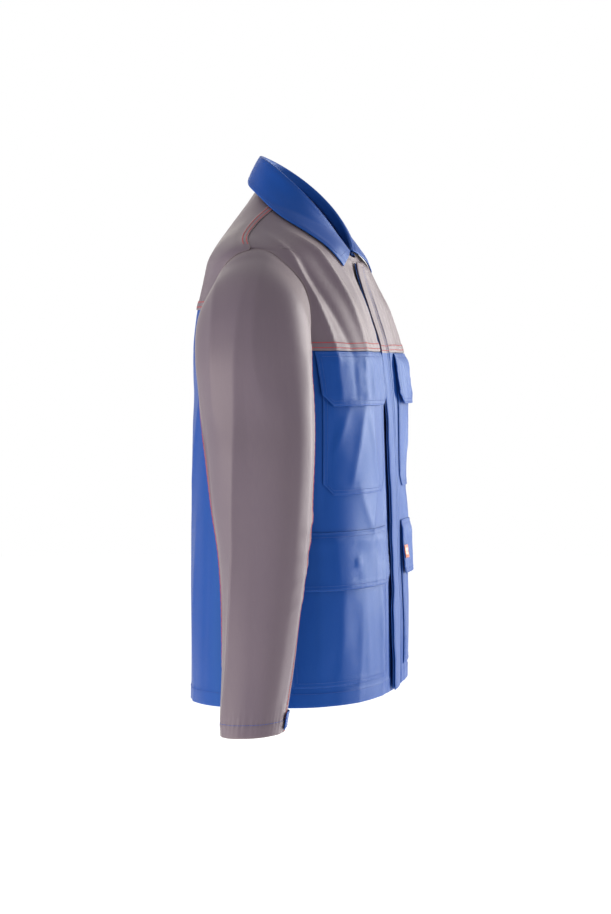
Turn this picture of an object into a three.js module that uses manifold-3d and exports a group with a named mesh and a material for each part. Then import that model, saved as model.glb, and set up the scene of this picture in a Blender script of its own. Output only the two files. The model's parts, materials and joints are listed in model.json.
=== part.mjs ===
// A welder's work jacket: blue body, grey yoke and sleeves, turned-down collar, concealed press-stud fly,
// two chest pockets and two lower pockets with flaps, and a stud tab on each cuff.
// Millimetres, +Z up. The origin is the centre of the neck opening, the front faces -Y, the wearer's left is +X.
// Every cloth piece is a thin closed sheet between two offsets from the surface that it follows.

import * as THREE from "three";
import { mergeVertices } from "three/addons/utils/BufferGeometryUtils.js";
import Module from "manifold-3d";

const wasm = await Module();
wasm.setup();

// ---- Cloth and clearances ----
const CLOTH = 2.5; // a panel with its facing and seam allowances
const SEAM_GAP = 0.8; // between two panels sewn edge to edge
const PLY_GAP = 0.8; // between a patch and the panel that it is sewn on
const TRIM_GAP = 0.45; // between a stud and the cloth that it is set in
const HINGE_GAP = 1.6; // beside an edge that turns

// ---- Body: heights from the neck opening's centre, half widths and depths of the outer face ----
const HEM_Z = -681;
const HEM_BACK_DROP = 10; // the hem is cut lower behind
const YOKE_FRONT_Z = -188;
const YOKE_BACK_Z = -130;
const SHOULDER_Z = -55;
const NECK_FRONT_Z = -50;
const NECK_SIDE_Z = 26;
const NECK_BACK_Z = 50;
const HEM_HALF = 232;
const WAIST_HALF = 223;
const CHEST_HALF = 222;
const SHOULDER_HALF = 239;
const NECK_HALF = 78;
const HEM_FRONT = 142;
const CHEST_FRONT = 131.5;
const CHEST_FULLNESS = 0.05; // how far the chest stands out beside the centre front, as a share of its depth
const NECK_FRONT = 79;
const HEM_BACK = 143;
const CHEST_BACK = 138;
const NECK_BACK = 66;

// ---- Armhole and sleeve ----
const ARMHOLE_Y = 4;
const ARMHOLE_Z = -147;
const ARMHOLE_HALF_DEPTH = 78;
const ARMHOLE_HALF_HEIGHT = 98;
const CUFF_Z = -695;
const CUFF_HALF_DEPTH = 41.5;
const CUFF_HALF_WIDTH = 48;
const CUFF_X = 316;

// ---- Fly: the flap down the centre front that covers the press studs ----
const FLY_HINGE_X = 31.2;
const FLY_FREE_X = -30;
const FLY_RAISE = 3.5; // its inner face stands this far off the front that it covers
const FLY_TOP_Z = -62;
const UNDERLAP_X = 21; // how far the right front runs on under the fly

// ---- Pockets and flaps, for one side: near and far are measured along the cloth from the centre front ----
const CHEST_POCKET = { near: 57, far: 222, top: -194, bottom: -387, chamfer: 16 };
const CHEST_FLAP = { near: 54, far: 223, top: -190.5, bottom: -264, chamfer: 15 };
const LOWER_POCKET = { near: 60, far: 268, top: -444, bottom: -654, chamfer: 0 };
const LOWER_FLAP = { near: 57, far: 268, top: -439, bottom: -519, chamfer: 12 };
const FLAP_RAISE = 5.6; // inner face of a flap, off the body

// ---- Press studs ----
const STUD_R = 6;
const STUD_H = 1;
const STUD_SIDES = 12;
const FLY_STUD_Z = [-88, -150, -232, -330, -428, -526, -624];

// ---- Collar ----
const COLLAR_CLOTH = 3;
const COLLAR_FOLD_BACK_Z = 99;
const COLLAR_LEAF_BACK_Z = 62;

// ---- Looks ----
const cloth = (color) => new THREE.MeshStandardMaterial({ color, roughness: 0.75, metalness: 0 });
const BLUE = cloth(0x24489c);
const GREY = cloth(0x746a72);
const TAG = cloth(0xe8603c);
const STEEL = new THREE.MeshStandardMaterial({ color: 0x8a8d92, roughness: 0.35, metalness: 0.9 });

const rad = THREE.MathUtils.degToRad;

// A smooth curve through (at, value) pairs that doesn't overshoot between them.
function smoothCurve(at, values) {
  const n = at.length;
  const slope = at.slice(1).map((x, i) => (values[i + 1] - values[i]) / (x - at[i]));
  const tangent = at.map((_, i) => {
    if (i === 0) return slope[0];
    if (i === n - 1) return slope[n - 2];
    return slope[i - 1] * slope[i] <= 0 ? 0 : (2 * slope[i - 1] * slope[i]) / (slope[i - 1] + slope[i]);
  });
  return (x) => {
    let i = 0;
    while (i < n - 2 && x > at[i + 1]) i++;
    const h = at[i + 1] - at[i];
    const t = THREE.MathUtils.clamp((x - at[i]) / h, 0, 1);
    const a = (1 + 2 * t) * (1 - t) ** 2;
    const b = t * t * (3 - 2 * t);
    return a * values[i] + b * values[i + 1] + h * t * (1 - t) * ((1 - t) * tangent[i] - t * tangent[i + 1]);
  };
}

// A ring's height at angle u from its heights at the front, the sides and the back.
function ringHeight(front, side, back, u) {
  const c = Math.cos(rad(u));
  const even = (front + back) / 4 - side / 2;
  return (front + back) / 4 + side / 2 + ((front - back) / 2) * c + even * (2 * c * c - 1);
}

// The distance from a ring's centre to its edge: a superellipse with its own depth in front and behind.
function ringRadius(half, depth, squareness, u) {
  const s = Math.abs(Math.sin(rad(u))) / half;
  const c = Math.abs(Math.cos(rad(u))) / depth;
  return (s ** squareness + c ** squareness) ** (-1 / squareness);
}

// Rings of the body from the hem to the neckline. v is the height up to the shoulder and a level above it.
const NECK_LEVEL = 20;
const BODY_RINGS = [
  {
    v: HEM_Z,
    half: HEM_HALF,
    front: -HEM_FRONT,
    side: 4,
    back: HEM_BACK,
    square: 2.7,
    full: 0,
    heights: [HEM_Z, HEM_Z + 2, HEM_Z - HEM_BACK_DROP],
  },
  { v: -420, half: WAIST_HALF, front: -135.5, side: 4, back: 140, square: 2.8, full: 0.6 },
  { v: -280, half: CHEST_HALF, front: -CHEST_FRONT, side: 4, back: CHEST_BACK, square: 2.8, full: 1 },
  { v: YOKE_FRONT_Z, half: 226, front: -122, side: 5, back: 138, square: 2.6, full: 1.5 },
  { v: YOKE_BACK_Z, half: 232, front: -105, side: 9, back: 134, square: 2.35, full: 1.8 },
  { v: -85, half: 235, front: -91, side: 14, back: 127, square: 2.15, full: 1.0 },
  { v: SHOULDER_Z, half: SHOULDER_HALF, front: -83, side: 18, back: 120, square: 2.05, full: 0.2 },
  { v: -18, half: 160, front: -81, side: 14, back: 101, square: 2, full: 0, heights: [-58, -17, -12] },
  {
    v: NECK_LEVEL,
    half: NECK_HALF,
    front: -NECK_FRONT,
    side: 8,
    back: NECK_BACK,
    square: 2,
    full: 0,
    heights: [NECK_FRONT_Z, NECK_SIDE_Z, NECK_BACK_Z],
  },
];
const ringLevels = BODY_RINGS.map((r) => r.v);
const ringCurve = (value) => smoothCurve(ringLevels, BODY_RINGS.map(value));
const bodyHalf = ringCurve((r) => r.half);
const bodyFront = ringCurve((r) => r.front);
const bodySide = ringCurve((r) => r.side);
const bodyBack = ringCurve((r) => r.back);
const bodySquare = ringCurve((r) => r.square);
const bodyFullness = ringCurve((r) => r.full * CHEST_FULLNESS);
const bodyHeights = [0, 1, 2].map((k) => ringCurve((r) => (r.heights ? r.heights[k] : r.v)));

// A point of the body's outer face: u runs round from the centre front (0) over the wearer's left (90).
function body(u, v) {
  const side = bodySide(v);
  const front = Math.cos(rad(u)) > 0;
  const depth = front ? side - bodyFront(v) : bodyBack(v) - side;
  const fullness = front ? 1 + bodyFullness(v) * Math.sin(rad(2 * u)) ** 2 : 1;
  const r = ringRadius(bodyHalf(v), depth, bodySquare(v), u) * fullness;
  const z = ringHeight(...bodyHeights.map((h) => h(v)), u);
  return new THREE.Vector3(r * Math.sin(rad(u)), side - r * Math.cos(rad(u)), z);
}

// A point at a distance outside a surface, along the surface's own normal.
function offset(surface, u, v, distance, du = 0.5, dv = 1) {
  const along = surface(u + du, v).sub(surface(u - du, v));
  const up = surface(u, v + dv).sub(surface(u, v - dv));
  return surface(u, v).addScaledVector(along.cross(up).normalize(), distance);
}

// The angle at which the front of the body reaches a given x at level v.
function angleAtX(x, v) {
  let low = 0;
  let high = 89;
  for (let i = 0; i < 40; i++) {
    const mid = (low + high) / 2;
    if (body(mid, v).x < Math.abs(x)) low = mid;
    else high = mid;
  }
  return Math.sign(x) * low;
}

// The angle on the ring at level v that lies a given distance along the cloth from the centre front.
const ringArcs = new Map();
function angleAlong(distance, v) {
  if (!ringArcs.has(v)) {
    const arcs = [0];
    for (let u = 1; u < 130; u++) arcs.push(arcs[u - 1] + body(u, v).distanceTo(body(u - 1, v)));
    ringArcs.set(v, arcs);
  }
  const arcs = ringArcs.get(v);
  const u = arcs.findIndex((arc) => arc > Math.abs(distance));
  return Math.sign(distance) * (u - 1 + (Math.abs(distance) - arcs[u - 1]) / (arcs[u] - arcs[u - 1]));
}

// ---- Solids ----

// Evenly spaced numbers from a to b, in n steps.
const steps = (a, b, n) => Array.from({ length: n + 1 }, (_, i) => a + ((b - a) * i) / n);

// A closed sheet of cloth. at(i, j, outer) is the point of column i and row j on its inner or outer face.
function sheetGeometry(columns, rows, at) {
  const positions = [];
  for (const outer of [true, false]) {
    for (let j = 0; j < rows; j++) for (let i = 0; i < columns; i++) positions.push(...at(i, j, outer).toArray());
  }
  const out = (i, j) => j * columns + i;
  const inn = (i, j) => columns * rows + j * columns + i;
  const faces = [];
  const quad = (a, b, c, d) => faces.push(a, b, c, a, c, d);
  for (let j = 0; j < rows - 1; j++) {
    for (let i = 0; i < columns - 1; i++) {
      quad(out(i, j), out(i + 1, j), out(i + 1, j + 1), out(i, j + 1));
      quad(inn(i, j), inn(i, j + 1), inn(i + 1, j + 1), inn(i + 1, j));
    }
    quad(inn(0, j), out(0, j), out(0, j + 1), inn(0, j + 1));
    quad(out(columns - 1, j), inn(columns - 1, j), inn(columns - 1, j + 1), out(columns - 1, j + 1));
  }
  for (let i = 0; i < columns - 1; i++) {
    quad(inn(i, 0), inn(i + 1, 0), out(i + 1, 0), out(i, 0));
    quad(out(i, rows - 1), out(i + 1, rows - 1), inn(i + 1, rows - 1), inn(i, rows - 1));
  }
  const geometry = new THREE.BufferGeometry();
  geometry.setAttribute("position", new THREE.Float32BufferAttribute(positions, 3));
  geometry.setIndex(faces);
  return facingOut(geometry);
}

// Turns a closed geometry's faces round if they point inwards, as a mirrored piece's do.
function facingOut(geometry) {
  const p = geometry.getAttribute("position");
  const index = geometry.getIndex();
  const corner = (k) => new THREE.Vector3().fromBufferAttribute(p, index.getX(k));
  let volume = 0;
  for (let k = 0; k < index.count; k += 3) volume += corner(k).dot(corner(k + 1).cross(corner(k + 2)));
  if (volume < 0) {
    for (let k = 0; k < index.count; k += 3) {
      const first = index.getX(k);
      index.setX(k, index.getX(k + 1));
      index.setX(k + 1, first);
    }
  }
  return geometry;
}

// A sheet that follows the body between offsets inner and outer. columns are angles or functions of the level.
function bodySheet(columns, levels, inner, outer) {
  const angle = (c, v) => (typeof c === "function" ? c(v) : c);
  return sheetGeometry(columns.length, levels.length, (i, j, out) =>
    offset(body, angle(columns[i], levels[j]), levels[j], out ? outer : inner),
  );
}

// A patch on one front, from near to far along the cloth, with its two lower corners cut off.
function frontPatch(side, { near, far, top, bottom, chamfer }, inner, outer, rows, columns = 10) {
  const width = far - near;
  const cuts = [0, ...steps(chamfer || width / columns, width - (chamfer || width / columns), columns - 2), width];
  const foot = (x) => bottom + Math.max(0, chamfer - Math.min(x, width - x));
  return sheetGeometry(cuts.length, rows, (i, j, out) => {
    const z = THREE.MathUtils.lerp(foot(cuts[i]), top, j / (rows - 1));
    return offset(body, angleAlong(side * (near + cuts[i]), z), z, out ? outer : inner);
  });
}

// A stud or socket: a low disc on the surface at (u, v), from offset low up.
function disc(surface, u, v, low, height = STUD_H, radius = STUD_R) {
  const geometry = new THREE.CylinderGeometry(radius, radius, height, STUD_SIDES);
  const foot = offset(surface, u, v, low);
  const head = offset(surface, u, v, low + height);
  const turn = new THREE.Quaternion().setFromUnitVectors(
    new THREE.Vector3(0, 1, 0),
    head.clone().sub(foot).normalize(),
  );
  geometry.applyQuaternion(turn);
  const middle = foot.add(head).multiplyScalar(0.5);
  geometry.translate(middle.x, middle.y, middle.z);
  return geometry;
}

function toSolid(geometry) {
  const bare = geometry.clone();
  bare.deleteAttribute("normal");
  bare.deleteAttribute("uv");
  const merged = mergeVertices(bare, 1e-4);
  return new wasm.Manifold(
    new wasm.Mesh({
      numProp: 3,
      vertProperties: merged.attributes.position.array,
      triVerts: new Uint32Array(merged.index.array),
    }),
  );
}

function toGeometry(solid) {
  const mesh = solid.getMesh();
  const geometry = new THREE.BufferGeometry();
  geometry.setAttribute("position", new THREE.BufferAttribute(new Float32Array(mesh.vertProperties), 3));
  geometry.setIndex(new THREE.BufferAttribute(new Uint32Array(mesh.triVerts), 1));
  return geometry;
}

// The upright oval that a sleeve is set into, as a bar along x through both sides of the body.
function armholeBar() {
  const outline = new THREE.Shape();
  outline.absellipse(0, 0, ARMHOLE_HALF_DEPTH, ARMHOLE_HALF_HEIGHT, 0, 2 * Math.PI);
  const length = 2 * SHOULDER_HALF;
  const bar = new THREE.ExtrudeGeometry(outline, { depth: length, bevelEnabled: false, curveSegments: 20 });
  bar.rotateY(Math.PI / 2);
  bar.rotateX(Math.PI / 2);
  bar.translate(0, ARMHOLE_Y, ARMHOLE_Z);
  return bar;
}
const leftArmhole = toSolid(armholeBar());
const rightArmhole = leftArmhole.translate([-2 * SHOULDER_HALF, 0, 0]);

// A body piece without what lies inside either armhole.
const withArmholes = (geometry) => toGeometry(toSolid(geometry).subtract(leftArmhole).subtract(rightArmhole));

// ---- Sleeve surface, for the wearer's left; the right one is its mirror image ----

// The body's x where the armhole's edge passes, at angle a round it: 0 in front, 90 on top.
function armholePoint(a) {
  const y = ARMHOLE_Y - (ARMHOLE_HALF_DEPTH - SEAM_GAP) * Math.cos(rad(a));
  const z = ARMHOLE_Z + (ARMHOLE_HALF_HEIGHT - SEAM_GAP) * Math.sin(rad(a));
  const v = Math.min(z, SHOULDER_Z);
  let low = 20;
  let high = 160;
  for (let i = 0; i < 40; i++) {
    const mid = (low + high) / 2;
    if (body(mid, v).y < y) low = mid;
    else high = mid;
  }
  return new THREE.Vector3(body(low, v).x + SEAM_GAP, y, z);
}

// Cross-sections below the armhole. Those of the sleeve head fan out from the underarm point.
const UNDERARM = { x: 226, z: ARMHOLE_Z - ARMHOLE_HALF_HEIGHT };
const HEAD_FAN = [
  { turn: 25, reach: 168, y: 1, depth: 79 },
  { turn: 50, reach: 143, y: -3, depth: 79.5 },
  { turn: 75, reach: 127, y: -7, depth: 79 },
];
const ARM_SECTIONS = [
  { x: 287, y: -10, z: -263, width: 60, depth: 78 },
  { x: 296, y: -17, z: -334, width: 58, depth: 74 },
  { x: 301, y: -21, z: -400, width: 56, depth: 68.5 },
  { x: 305, y: -24, z: -467, width: 54, depth: 60 },
  { x: 308, y: -22.5, z: -534, width: 52, depth: 53 },
  { x: 311, y: -19.5, z: -600, width: 50, depth: 48 },
  { x: CUFF_X, y: -11, z: CUFF_Z, width: CUFF_HALF_WIDTH, depth: CUFF_HALF_DEPTH },
];

function fanPoint({ turn, reach, y, depth }, a) {
  const along = (reach / 2) * (1 + Math.sin(rad(a)));
  return new THREE.Vector3(
    UNDERARM.x + along * Math.sin(rad(turn)),
    y - depth * Math.cos(rad(a)),
    UNDERARM.z + along * Math.cos(rad(turn)),
  );
}

function armPoint({ x, y, z, width, depth }, a) {
  return new THREE.Vector3(x + width * Math.sin(rad(a)), y - depth * Math.cos(rad(a)), z);
}

// How far down the sleeve each section lies: the armhole, the fan and the arm.
const HEAD_LEVELS = [0, 55, 95, 130];
const SLEEVE_LEVELS = [...HEAD_LEVELS, ...ARM_SECTIONS.map((s) => 155 + (ARM_SECTIONS[0].z - s.z))];
const SLEEVE_END = SLEEVE_LEVELS.at(-1);
const sleeveLines = new Map();

// A point of the left sleeve's outer face: a runs round from the front over the outer side, w runs down.
function sleeve(a, w) {
  if (!sleeveLines.has(a)) {
    const points = [armholePoint(a), ...HEAD_FAN.map((s) => fanPoint(s, a)), ...ARM_SECTIONS.map((s) => armPoint(s, a))];
    sleeveLines.set(
      a,
      ["x", "y", "z"].map((k) => smoothCurve(SLEEVE_LEVELS, points.map((p) => p[k]))),
    );
  }
  const [x, y, z] = sleeveLines.get(a).map((line) => line(w));
  return new THREE.Vector3(x, y, z);
}

// w runs down, so the surface is handed over with -w to keep its normal outwards.
const sleeveUp = (a, level) => sleeve(a, -level);

function sleeveSheet(side, angles, levels, inner, outer) {
  return sheetGeometry(angles.length, levels.length, (i, j, out) => {
    const p = offset(sleeveUp, angles[i], levels[j], out ? outer : inner);
    p.x *= side;
    return p;
  });
}

// ---- Collar ----

// A ring round the neck, from its half width, its places in y and its heights.
function neckRing(u, half, frontY, sideY, backY, heights) {
  const depth = Math.cos(rad(u)) > 0 ? sideY - frontY : backY - sideY;
  const r = ringRadius(half, depth, 2, u);
  return new THREE.Vector3(r * Math.sin(rad(u)), sideY - r * Math.cos(rad(u)), ringHeight(...heights, u));
}
const neckline = (u) =>
  neckRing(u, NECK_HALF, -NECK_FRONT, 8, NECK_BACK, [NECK_FRONT_Z + 1.2, NECK_SIDE_Z + 1.2, NECK_BACK_Z + 1.2]);
const collarFold = (u) => neckRing(u, 77, -75, -10, 62, [-44, 47, COLLAR_FOLD_BACK_Z]);
const COLLAR_END = 15; // angle from the centre front at which the fold ends
const LEAF_END = 44; // and at which the leaf's lower edge ends, in its point

// The leaf's lower edge lies on the shoulders in front, and stands clear of them behind.
const leafLevel = smoothCurve([LEAF_END, 50, 58, 70, 90, 130], [-68, -42, -14, 0, 7, 20]);
function leafEdge(u) {
  const round = Math.min(u, 360 - u);
  const lying = offset(body, u, leafLevel(round), 2.6);
  const standing = neckRing(u, 104, -60, 8, 74, [20, 20, COLLAR_LEAF_BACK_Z]);
  return lying.lerp(standing, THREE.MathUtils.smoothstep(round, 80, 140));
}

// The stand rises from the neckline (w 0) to the fold (w 1) and hollows slightly inwards.
function stand(u, w) {
  const p = neckline(u).lerp(collarFold(u), w);
  const inwards = 2.5 * Math.sin(Math.PI * THREE.MathUtils.clamp(w, 0, 1));
  return p.add(new THREE.Vector3(-Math.sin(rad(u)), Math.cos(rad(u)), 0).multiplyScalar(inwards));
}

// The leaf falls from the fold (w 1) to its edge (w 0), and rolls outwards over the fold.
function leaf(u, w) {
  const share = (u - COLLAR_END) / (360 - 2 * COLLAR_END);
  const low = leafEdge(LEAF_END + share * (360 - 2 * LEAF_END));
  const p = low.lerp(collarFold(u), w);
  const roll = 5 * Math.sin(Math.PI * THREE.MathUtils.clamp(w, 0, 1)) ** 0.8;
  return p.add(new THREE.Vector3(Math.sin(rad(u)), -Math.cos(rad(u)), 0.7).multiplyScalar(roll));
}

// ---- Assembly ----
const jacket = new THREE.Group();

function add(name, geometry, material, parent = jacket) {
  const mesh = new THREE.Mesh(geometry, material);
  mesh.name = name;
  parent.add(mesh);
  return mesh;
}

const seamTurn = THREE.MathUtils.radToDeg(SEAM_GAP / 2 / CHEST_HALF);
const SIDES = { right: -1, left: 1 };
const BODY_ROWS = 8;
const columnBetween = (from, to, share) => (v) => from(v) + (to(v) - from(v)) * share;

// Back: one blue panel from side seam to side seam, and the yoke over it up to the shoulder seams.
const backAngles = steps(90 + seamTurn, 270 - seamTurn, 20);
const backLevels = [...steps(HEM_Z, -262, BODY_ROWS - 1), ...steps(-262, YOKE_BACK_Z - SEAM_GAP / 2, 3).slice(1)];
add("back_panel", withArmholes(bodySheet(backAngles, backLevels, -CLOTH, 0)), BLUE);
const yokeLevels = [...steps(YOKE_BACK_Z + SEAM_GAP / 2, SHOULDER_Z, 3), ...steps(SHOULDER_Z, NECK_LEVEL, 5).slice(1)];
add("back_yoke", withArmholes(bodySheet(backAngles, yokeLevels, -CLOTH, 0)), GREY);

// Fronts: the right one runs on under the fly, the left one starts at the fly's seam.
const sideSeam = 90 - seamTurn;
const frontLevels = [...steps(HEM_Z, -262, BODY_ROWS - 1), ...steps(-262, YOKE_FRONT_Z - SEAM_GAP / 2, 2).slice(1)];
const frontYokeLevels = [
  ...steps(YOKE_FRONT_Z + SEAM_GAP / 2, SHOULDER_Z, 5),
  ...steps(SHOULDER_Z, NECK_LEVEL, 5).slice(1),
];
const rightEdge = (v) => angleAtX(UNDERLAP_X, v);
const leftEdge = (v) => angleAtX(FLY_HINGE_X + HINGE_GAP, v);
const rightColumns = steps(0, 1, 12).map((s) => columnBetween(() => -sideSeam, rightEdge, s));
const leftColumns = steps(0, 1, 11).map((s) => columnBetween(leftEdge, () => sideSeam, s));
for (const [name, columns] of [
  ["right", rightColumns],
  ["left", leftColumns],
]) {
  add(`${name}_front_panel`, withArmholes(bodySheet(columns, frontLevels, -CLOTH, 0)), BLUE);
  add(`${name}_front_yoke`, withArmholes(bodySheet(columns, frontYokeLevels, -CLOTH, 0)), GREY);
}

// Fly: it lies over the underlap and comes down to the left front along its seam.
const flyShare = smoothCurve([FLY_FREE_X, 16, FLY_HINGE_X], [1, 1, 0]);
const flyRaise = (x) => FLY_RAISE * flyShare(x) - CLOTH * (1 - flyShare(x));
const flyColumns = [FLY_FREE_X, -10, 10, 17, 24, FLY_HINGE_X];
function flySheet(levels) {
  return sheetGeometry(flyColumns.length, levels.length, (i, j, out) => {
    const x = flyColumns[i];
    return offset(body, angleAtX(x, levels[j]), levels[j], flyRaise(x) + (out ? CLOTH : 0));
  });
}
const flyUpper = add("fly_upper", flySheet(steps(YOKE_FRONT_Z + SEAM_GAP, FLY_TOP_Z, 5)), GREY);
const flyLower = add("fly_lower", flySheet([...steps(HEM_Z + 2, -280, 6), ...steps(-280, YOKE_FRONT_Z - SEAM_GAP, 3).slice(1)]), BLUE);

// The line that a strip turns about, just outside its seam: two points of it, for the joint.
function seamLine(x, low, high, out) {
  return [low, high].map((z) => offset(body, angleAtX(x, z), z, out).toArray());
}
flyUpper.userData.hinge = seamLine(FLY_HINGE_X, YOKE_FRONT_Z, FLY_TOP_Z, 4);
flyLower.userData.hinge = seamLine(FLY_HINGE_X, HEM_Z, -280, 1);

FLY_STUD_Z.forEach((z, i) => {
  const u = angleAtX(0.01, z);
  add(`fly_stud_${i + 1}`, disc(body, u, z, TRIM_GAP), STEEL);
  add(`fly_socket_${i + 1}`, disc(body, u, z, FLY_RAISE - TRIM_GAP - STUD_H), STEEL);
});

// Pockets, flaps and their studs.
for (const [name, side] of Object.entries(SIDES)) {
  const sets = [
    ["chest", CHEST_POCKET, CHEST_FLAP, -40],
    ["lower", LOWER_POCKET, LOWER_FLAP, -44],
  ];
  for (const [place, pocket, flap, studDrop] of sets) {
    const pocketTop = PLY_GAP + CLOTH;
    add(`${name}_${place}_pocket`, frontPatch(side, pocket, PLY_GAP, pocketTop, 6), BLUE);
    const sewn = frontPatch(side, flap, FLAP_RAISE, FLAP_RAISE + CLOTH, 4);
    const flapMesh = add(`${name}_${place}_flap`, sewn, BLUE);
    const middle = (flap.near + flap.far) / 2;
    const z = flap.top + studDrop;
    const u = angleAlong(side * middle, z);
    add(`${name}_${place}_pocket_stud`, disc(body, u, z, pocketTop + TRIM_GAP, 0.6), STEEL);
    add(`${name}_${place}_flap_socket`, disc(body, u, z, FLAP_RAISE - 0.6 - 0.6, 0.6), STEEL);
    const top = angleAlong(side * middle, flap.top);
    const centre = offset(body, top, flap.top, FLAP_RAISE + CLOTH / 2);
    const along = body(top + 3, flap.top).sub(body(top - 3, flap.top)).setZ(0).normalize();
    flapMesh.userData.hinge = [centre.toArray(), along.toArray()];
  }
}

// A folded tag sewn into the left lower flap's front edge.
const TAG_SIZE = { near: LOWER_FLAP.near + 3, far: LOWER_FLAP.near + 15, top: -478, bottom: -496, chamfer: 0 };
add("flap_tag", frontPatch(1, TAG_SIZE, FLAP_RAISE + CLOTH + TRIM_GAP, FLAP_RAISE + CLOTH + TRIM_GAP + 1, 2, 3), TAG);

// Collar: the stand on the neckline, and the leaf that falls over it. The pieces meet at the fold.
const collarAngles = steps(COLLAR_END, 360 - COLLAR_END, 26);
const standSheet = sheetGeometry(collarAngles.length, 4, (i, j, out) =>
  offset(stand, collarAngles[i], (j / 3) * 0.985, out ? 0 : -COLLAR_CLOTH, 0.5, 0.02),
);
add("collar_stand", standSheet, BLUE);
const leafSheet = sheetGeometry(collarAngles.length, 5, (i, j, out) =>
  offset(leaf, collarAngles[i], (j / 4) * 0.99, (out ? COLLAR_CLOTH : 0) + SEAM_GAP / 4, 0.5, 0.02),
);
add("collar_leaf", leafSheet, BLUE);

// Sleeves: a top and an under sleeve, joined along the front and the back of the arm, and the cuff tab.
const FRONT_SEAM = -6;
const BACK_SEAM = 184;
const sleeveSeamTurn = 0.5;
const sleeveLevels = [...steps(-SLEEVE_END, -155, 8), ...steps(-155, 0, 5).slice(1)];
const SHOULDER_PIVOT_X = Math.max(...steps(0, 180, 36).map((a) => armholePoint(a).x));
const TAB = { from: -66, to: 4, low: 5, high: 25, raise: 0.8 };
for (const [name, side] of Object.entries(SIDES)) {
  const top = steps(FRONT_SEAM + sleeveSeamTurn, BACK_SEAM - sleeveSeamTurn, 12);
  const under = steps(BACK_SEAM + sleeveSeamTurn, 360 + FRONT_SEAM - sleeveSeamTurn, 10);
  const topSleeve = add(`${name}_top_sleeve`, sleeveSheet(side, top, sleeveLevels, -CLOTH, 0), GREY);
  topSleeve.userData.hinge = [side * SHOULDER_PIVOT_X, ARMHOLE_Y, ARMHOLE_Z + ARMHOLE_HALF_HEIGHT];
  add(`${name}_under_sleeve`, sleeveSheet(side, under, sleeveLevels, -CLOTH, 0), GREY);
  const tabLevels = [-SLEEVE_END + TAB.low, -SLEEVE_END + TAB.high];
  const tab = sleeveSheet(side, steps(TAB.from, TAB.to, 5), tabLevels, TAB.raise, TAB.raise + CLOTH);
  const tabMesh = add(`${name}_cuff_tab`, tab, BLUE);
  const seam = tabLevels.map((w) => {
    const p = offset(sleeveUp, TAB.from, w, TAB.raise + CLOTH / 2);
    p.x *= side;
    return p.toArray();
  });
  tabMesh.userData.hinge = seam;
}

export default jacket;
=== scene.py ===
# %% [markdown]
# # A welder's work jacket
# The jacket is cut from two flame-retardant cloths: blue for the body and the collar, grey for the yoke and the
# sleeves. A jacket is many flat pieces sewn edge to edge, so this lesson makes one thin closed mesh for each cut
# piece, lays it on a smooth form, and adds what sewing does to it: laps, hems, folds, puckers and rows of stitches.
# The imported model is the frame: it says where each piece is and what moves, and nothing here moves it.

import json
import math

import bpy
import numpy as np
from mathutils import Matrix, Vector


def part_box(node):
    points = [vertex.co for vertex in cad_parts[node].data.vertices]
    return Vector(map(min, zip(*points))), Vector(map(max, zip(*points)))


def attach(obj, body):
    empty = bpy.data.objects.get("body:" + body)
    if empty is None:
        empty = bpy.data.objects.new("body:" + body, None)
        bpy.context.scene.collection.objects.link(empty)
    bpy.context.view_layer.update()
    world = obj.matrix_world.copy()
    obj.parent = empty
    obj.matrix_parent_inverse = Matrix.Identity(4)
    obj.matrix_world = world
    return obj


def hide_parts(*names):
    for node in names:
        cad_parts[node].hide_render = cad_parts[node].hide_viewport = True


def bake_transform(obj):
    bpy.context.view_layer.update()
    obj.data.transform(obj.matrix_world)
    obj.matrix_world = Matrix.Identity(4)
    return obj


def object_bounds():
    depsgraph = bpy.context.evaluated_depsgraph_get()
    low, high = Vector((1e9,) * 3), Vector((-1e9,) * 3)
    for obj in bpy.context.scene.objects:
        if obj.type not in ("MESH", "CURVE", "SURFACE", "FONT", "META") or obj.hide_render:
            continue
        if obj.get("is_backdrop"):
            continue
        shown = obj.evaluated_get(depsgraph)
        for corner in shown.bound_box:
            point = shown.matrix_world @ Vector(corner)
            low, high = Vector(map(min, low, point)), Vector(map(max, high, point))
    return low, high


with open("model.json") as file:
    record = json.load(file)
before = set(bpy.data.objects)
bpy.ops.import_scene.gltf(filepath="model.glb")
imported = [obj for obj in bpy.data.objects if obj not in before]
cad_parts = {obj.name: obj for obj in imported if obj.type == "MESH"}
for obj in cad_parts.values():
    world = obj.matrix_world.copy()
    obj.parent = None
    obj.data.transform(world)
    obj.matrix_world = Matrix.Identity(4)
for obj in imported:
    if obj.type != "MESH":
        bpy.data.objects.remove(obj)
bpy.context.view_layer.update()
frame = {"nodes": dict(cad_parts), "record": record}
MM = 0.001

# %% [markdown]
# ## Camera and studio
# A long lens from the wearer's right, a little above the middle, shows the sleeve and the pockets with little
# perspective. Two tall soft boxes stand in front of and behind the jacket, because satin cloth shows its folds where
# light grazes it, and the side towards the camera stays in the softer light of the pale room.

# %% Camera
CAMERA_AZIMUTH, CAMERA_ELEVATION, CAMERA_DISTANCE = -76.0, 2.36, 2.9525
LENS, SIDE_SHIFT = 78.5, 0.0038
middle = Vector((0, 0, -0.343))


def direction(azimuth, elevation):
    a, e = math.radians(azimuth), math.radians(elevation)
    return Vector((math.sin(a) * math.cos(e), -math.cos(a) * math.cos(e), math.sin(e)))


def add_object(name, data):
    made = bpy.data.objects.new(name, data)
    bpy.context.scene.collection.objects.link(made)
    return made


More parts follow.
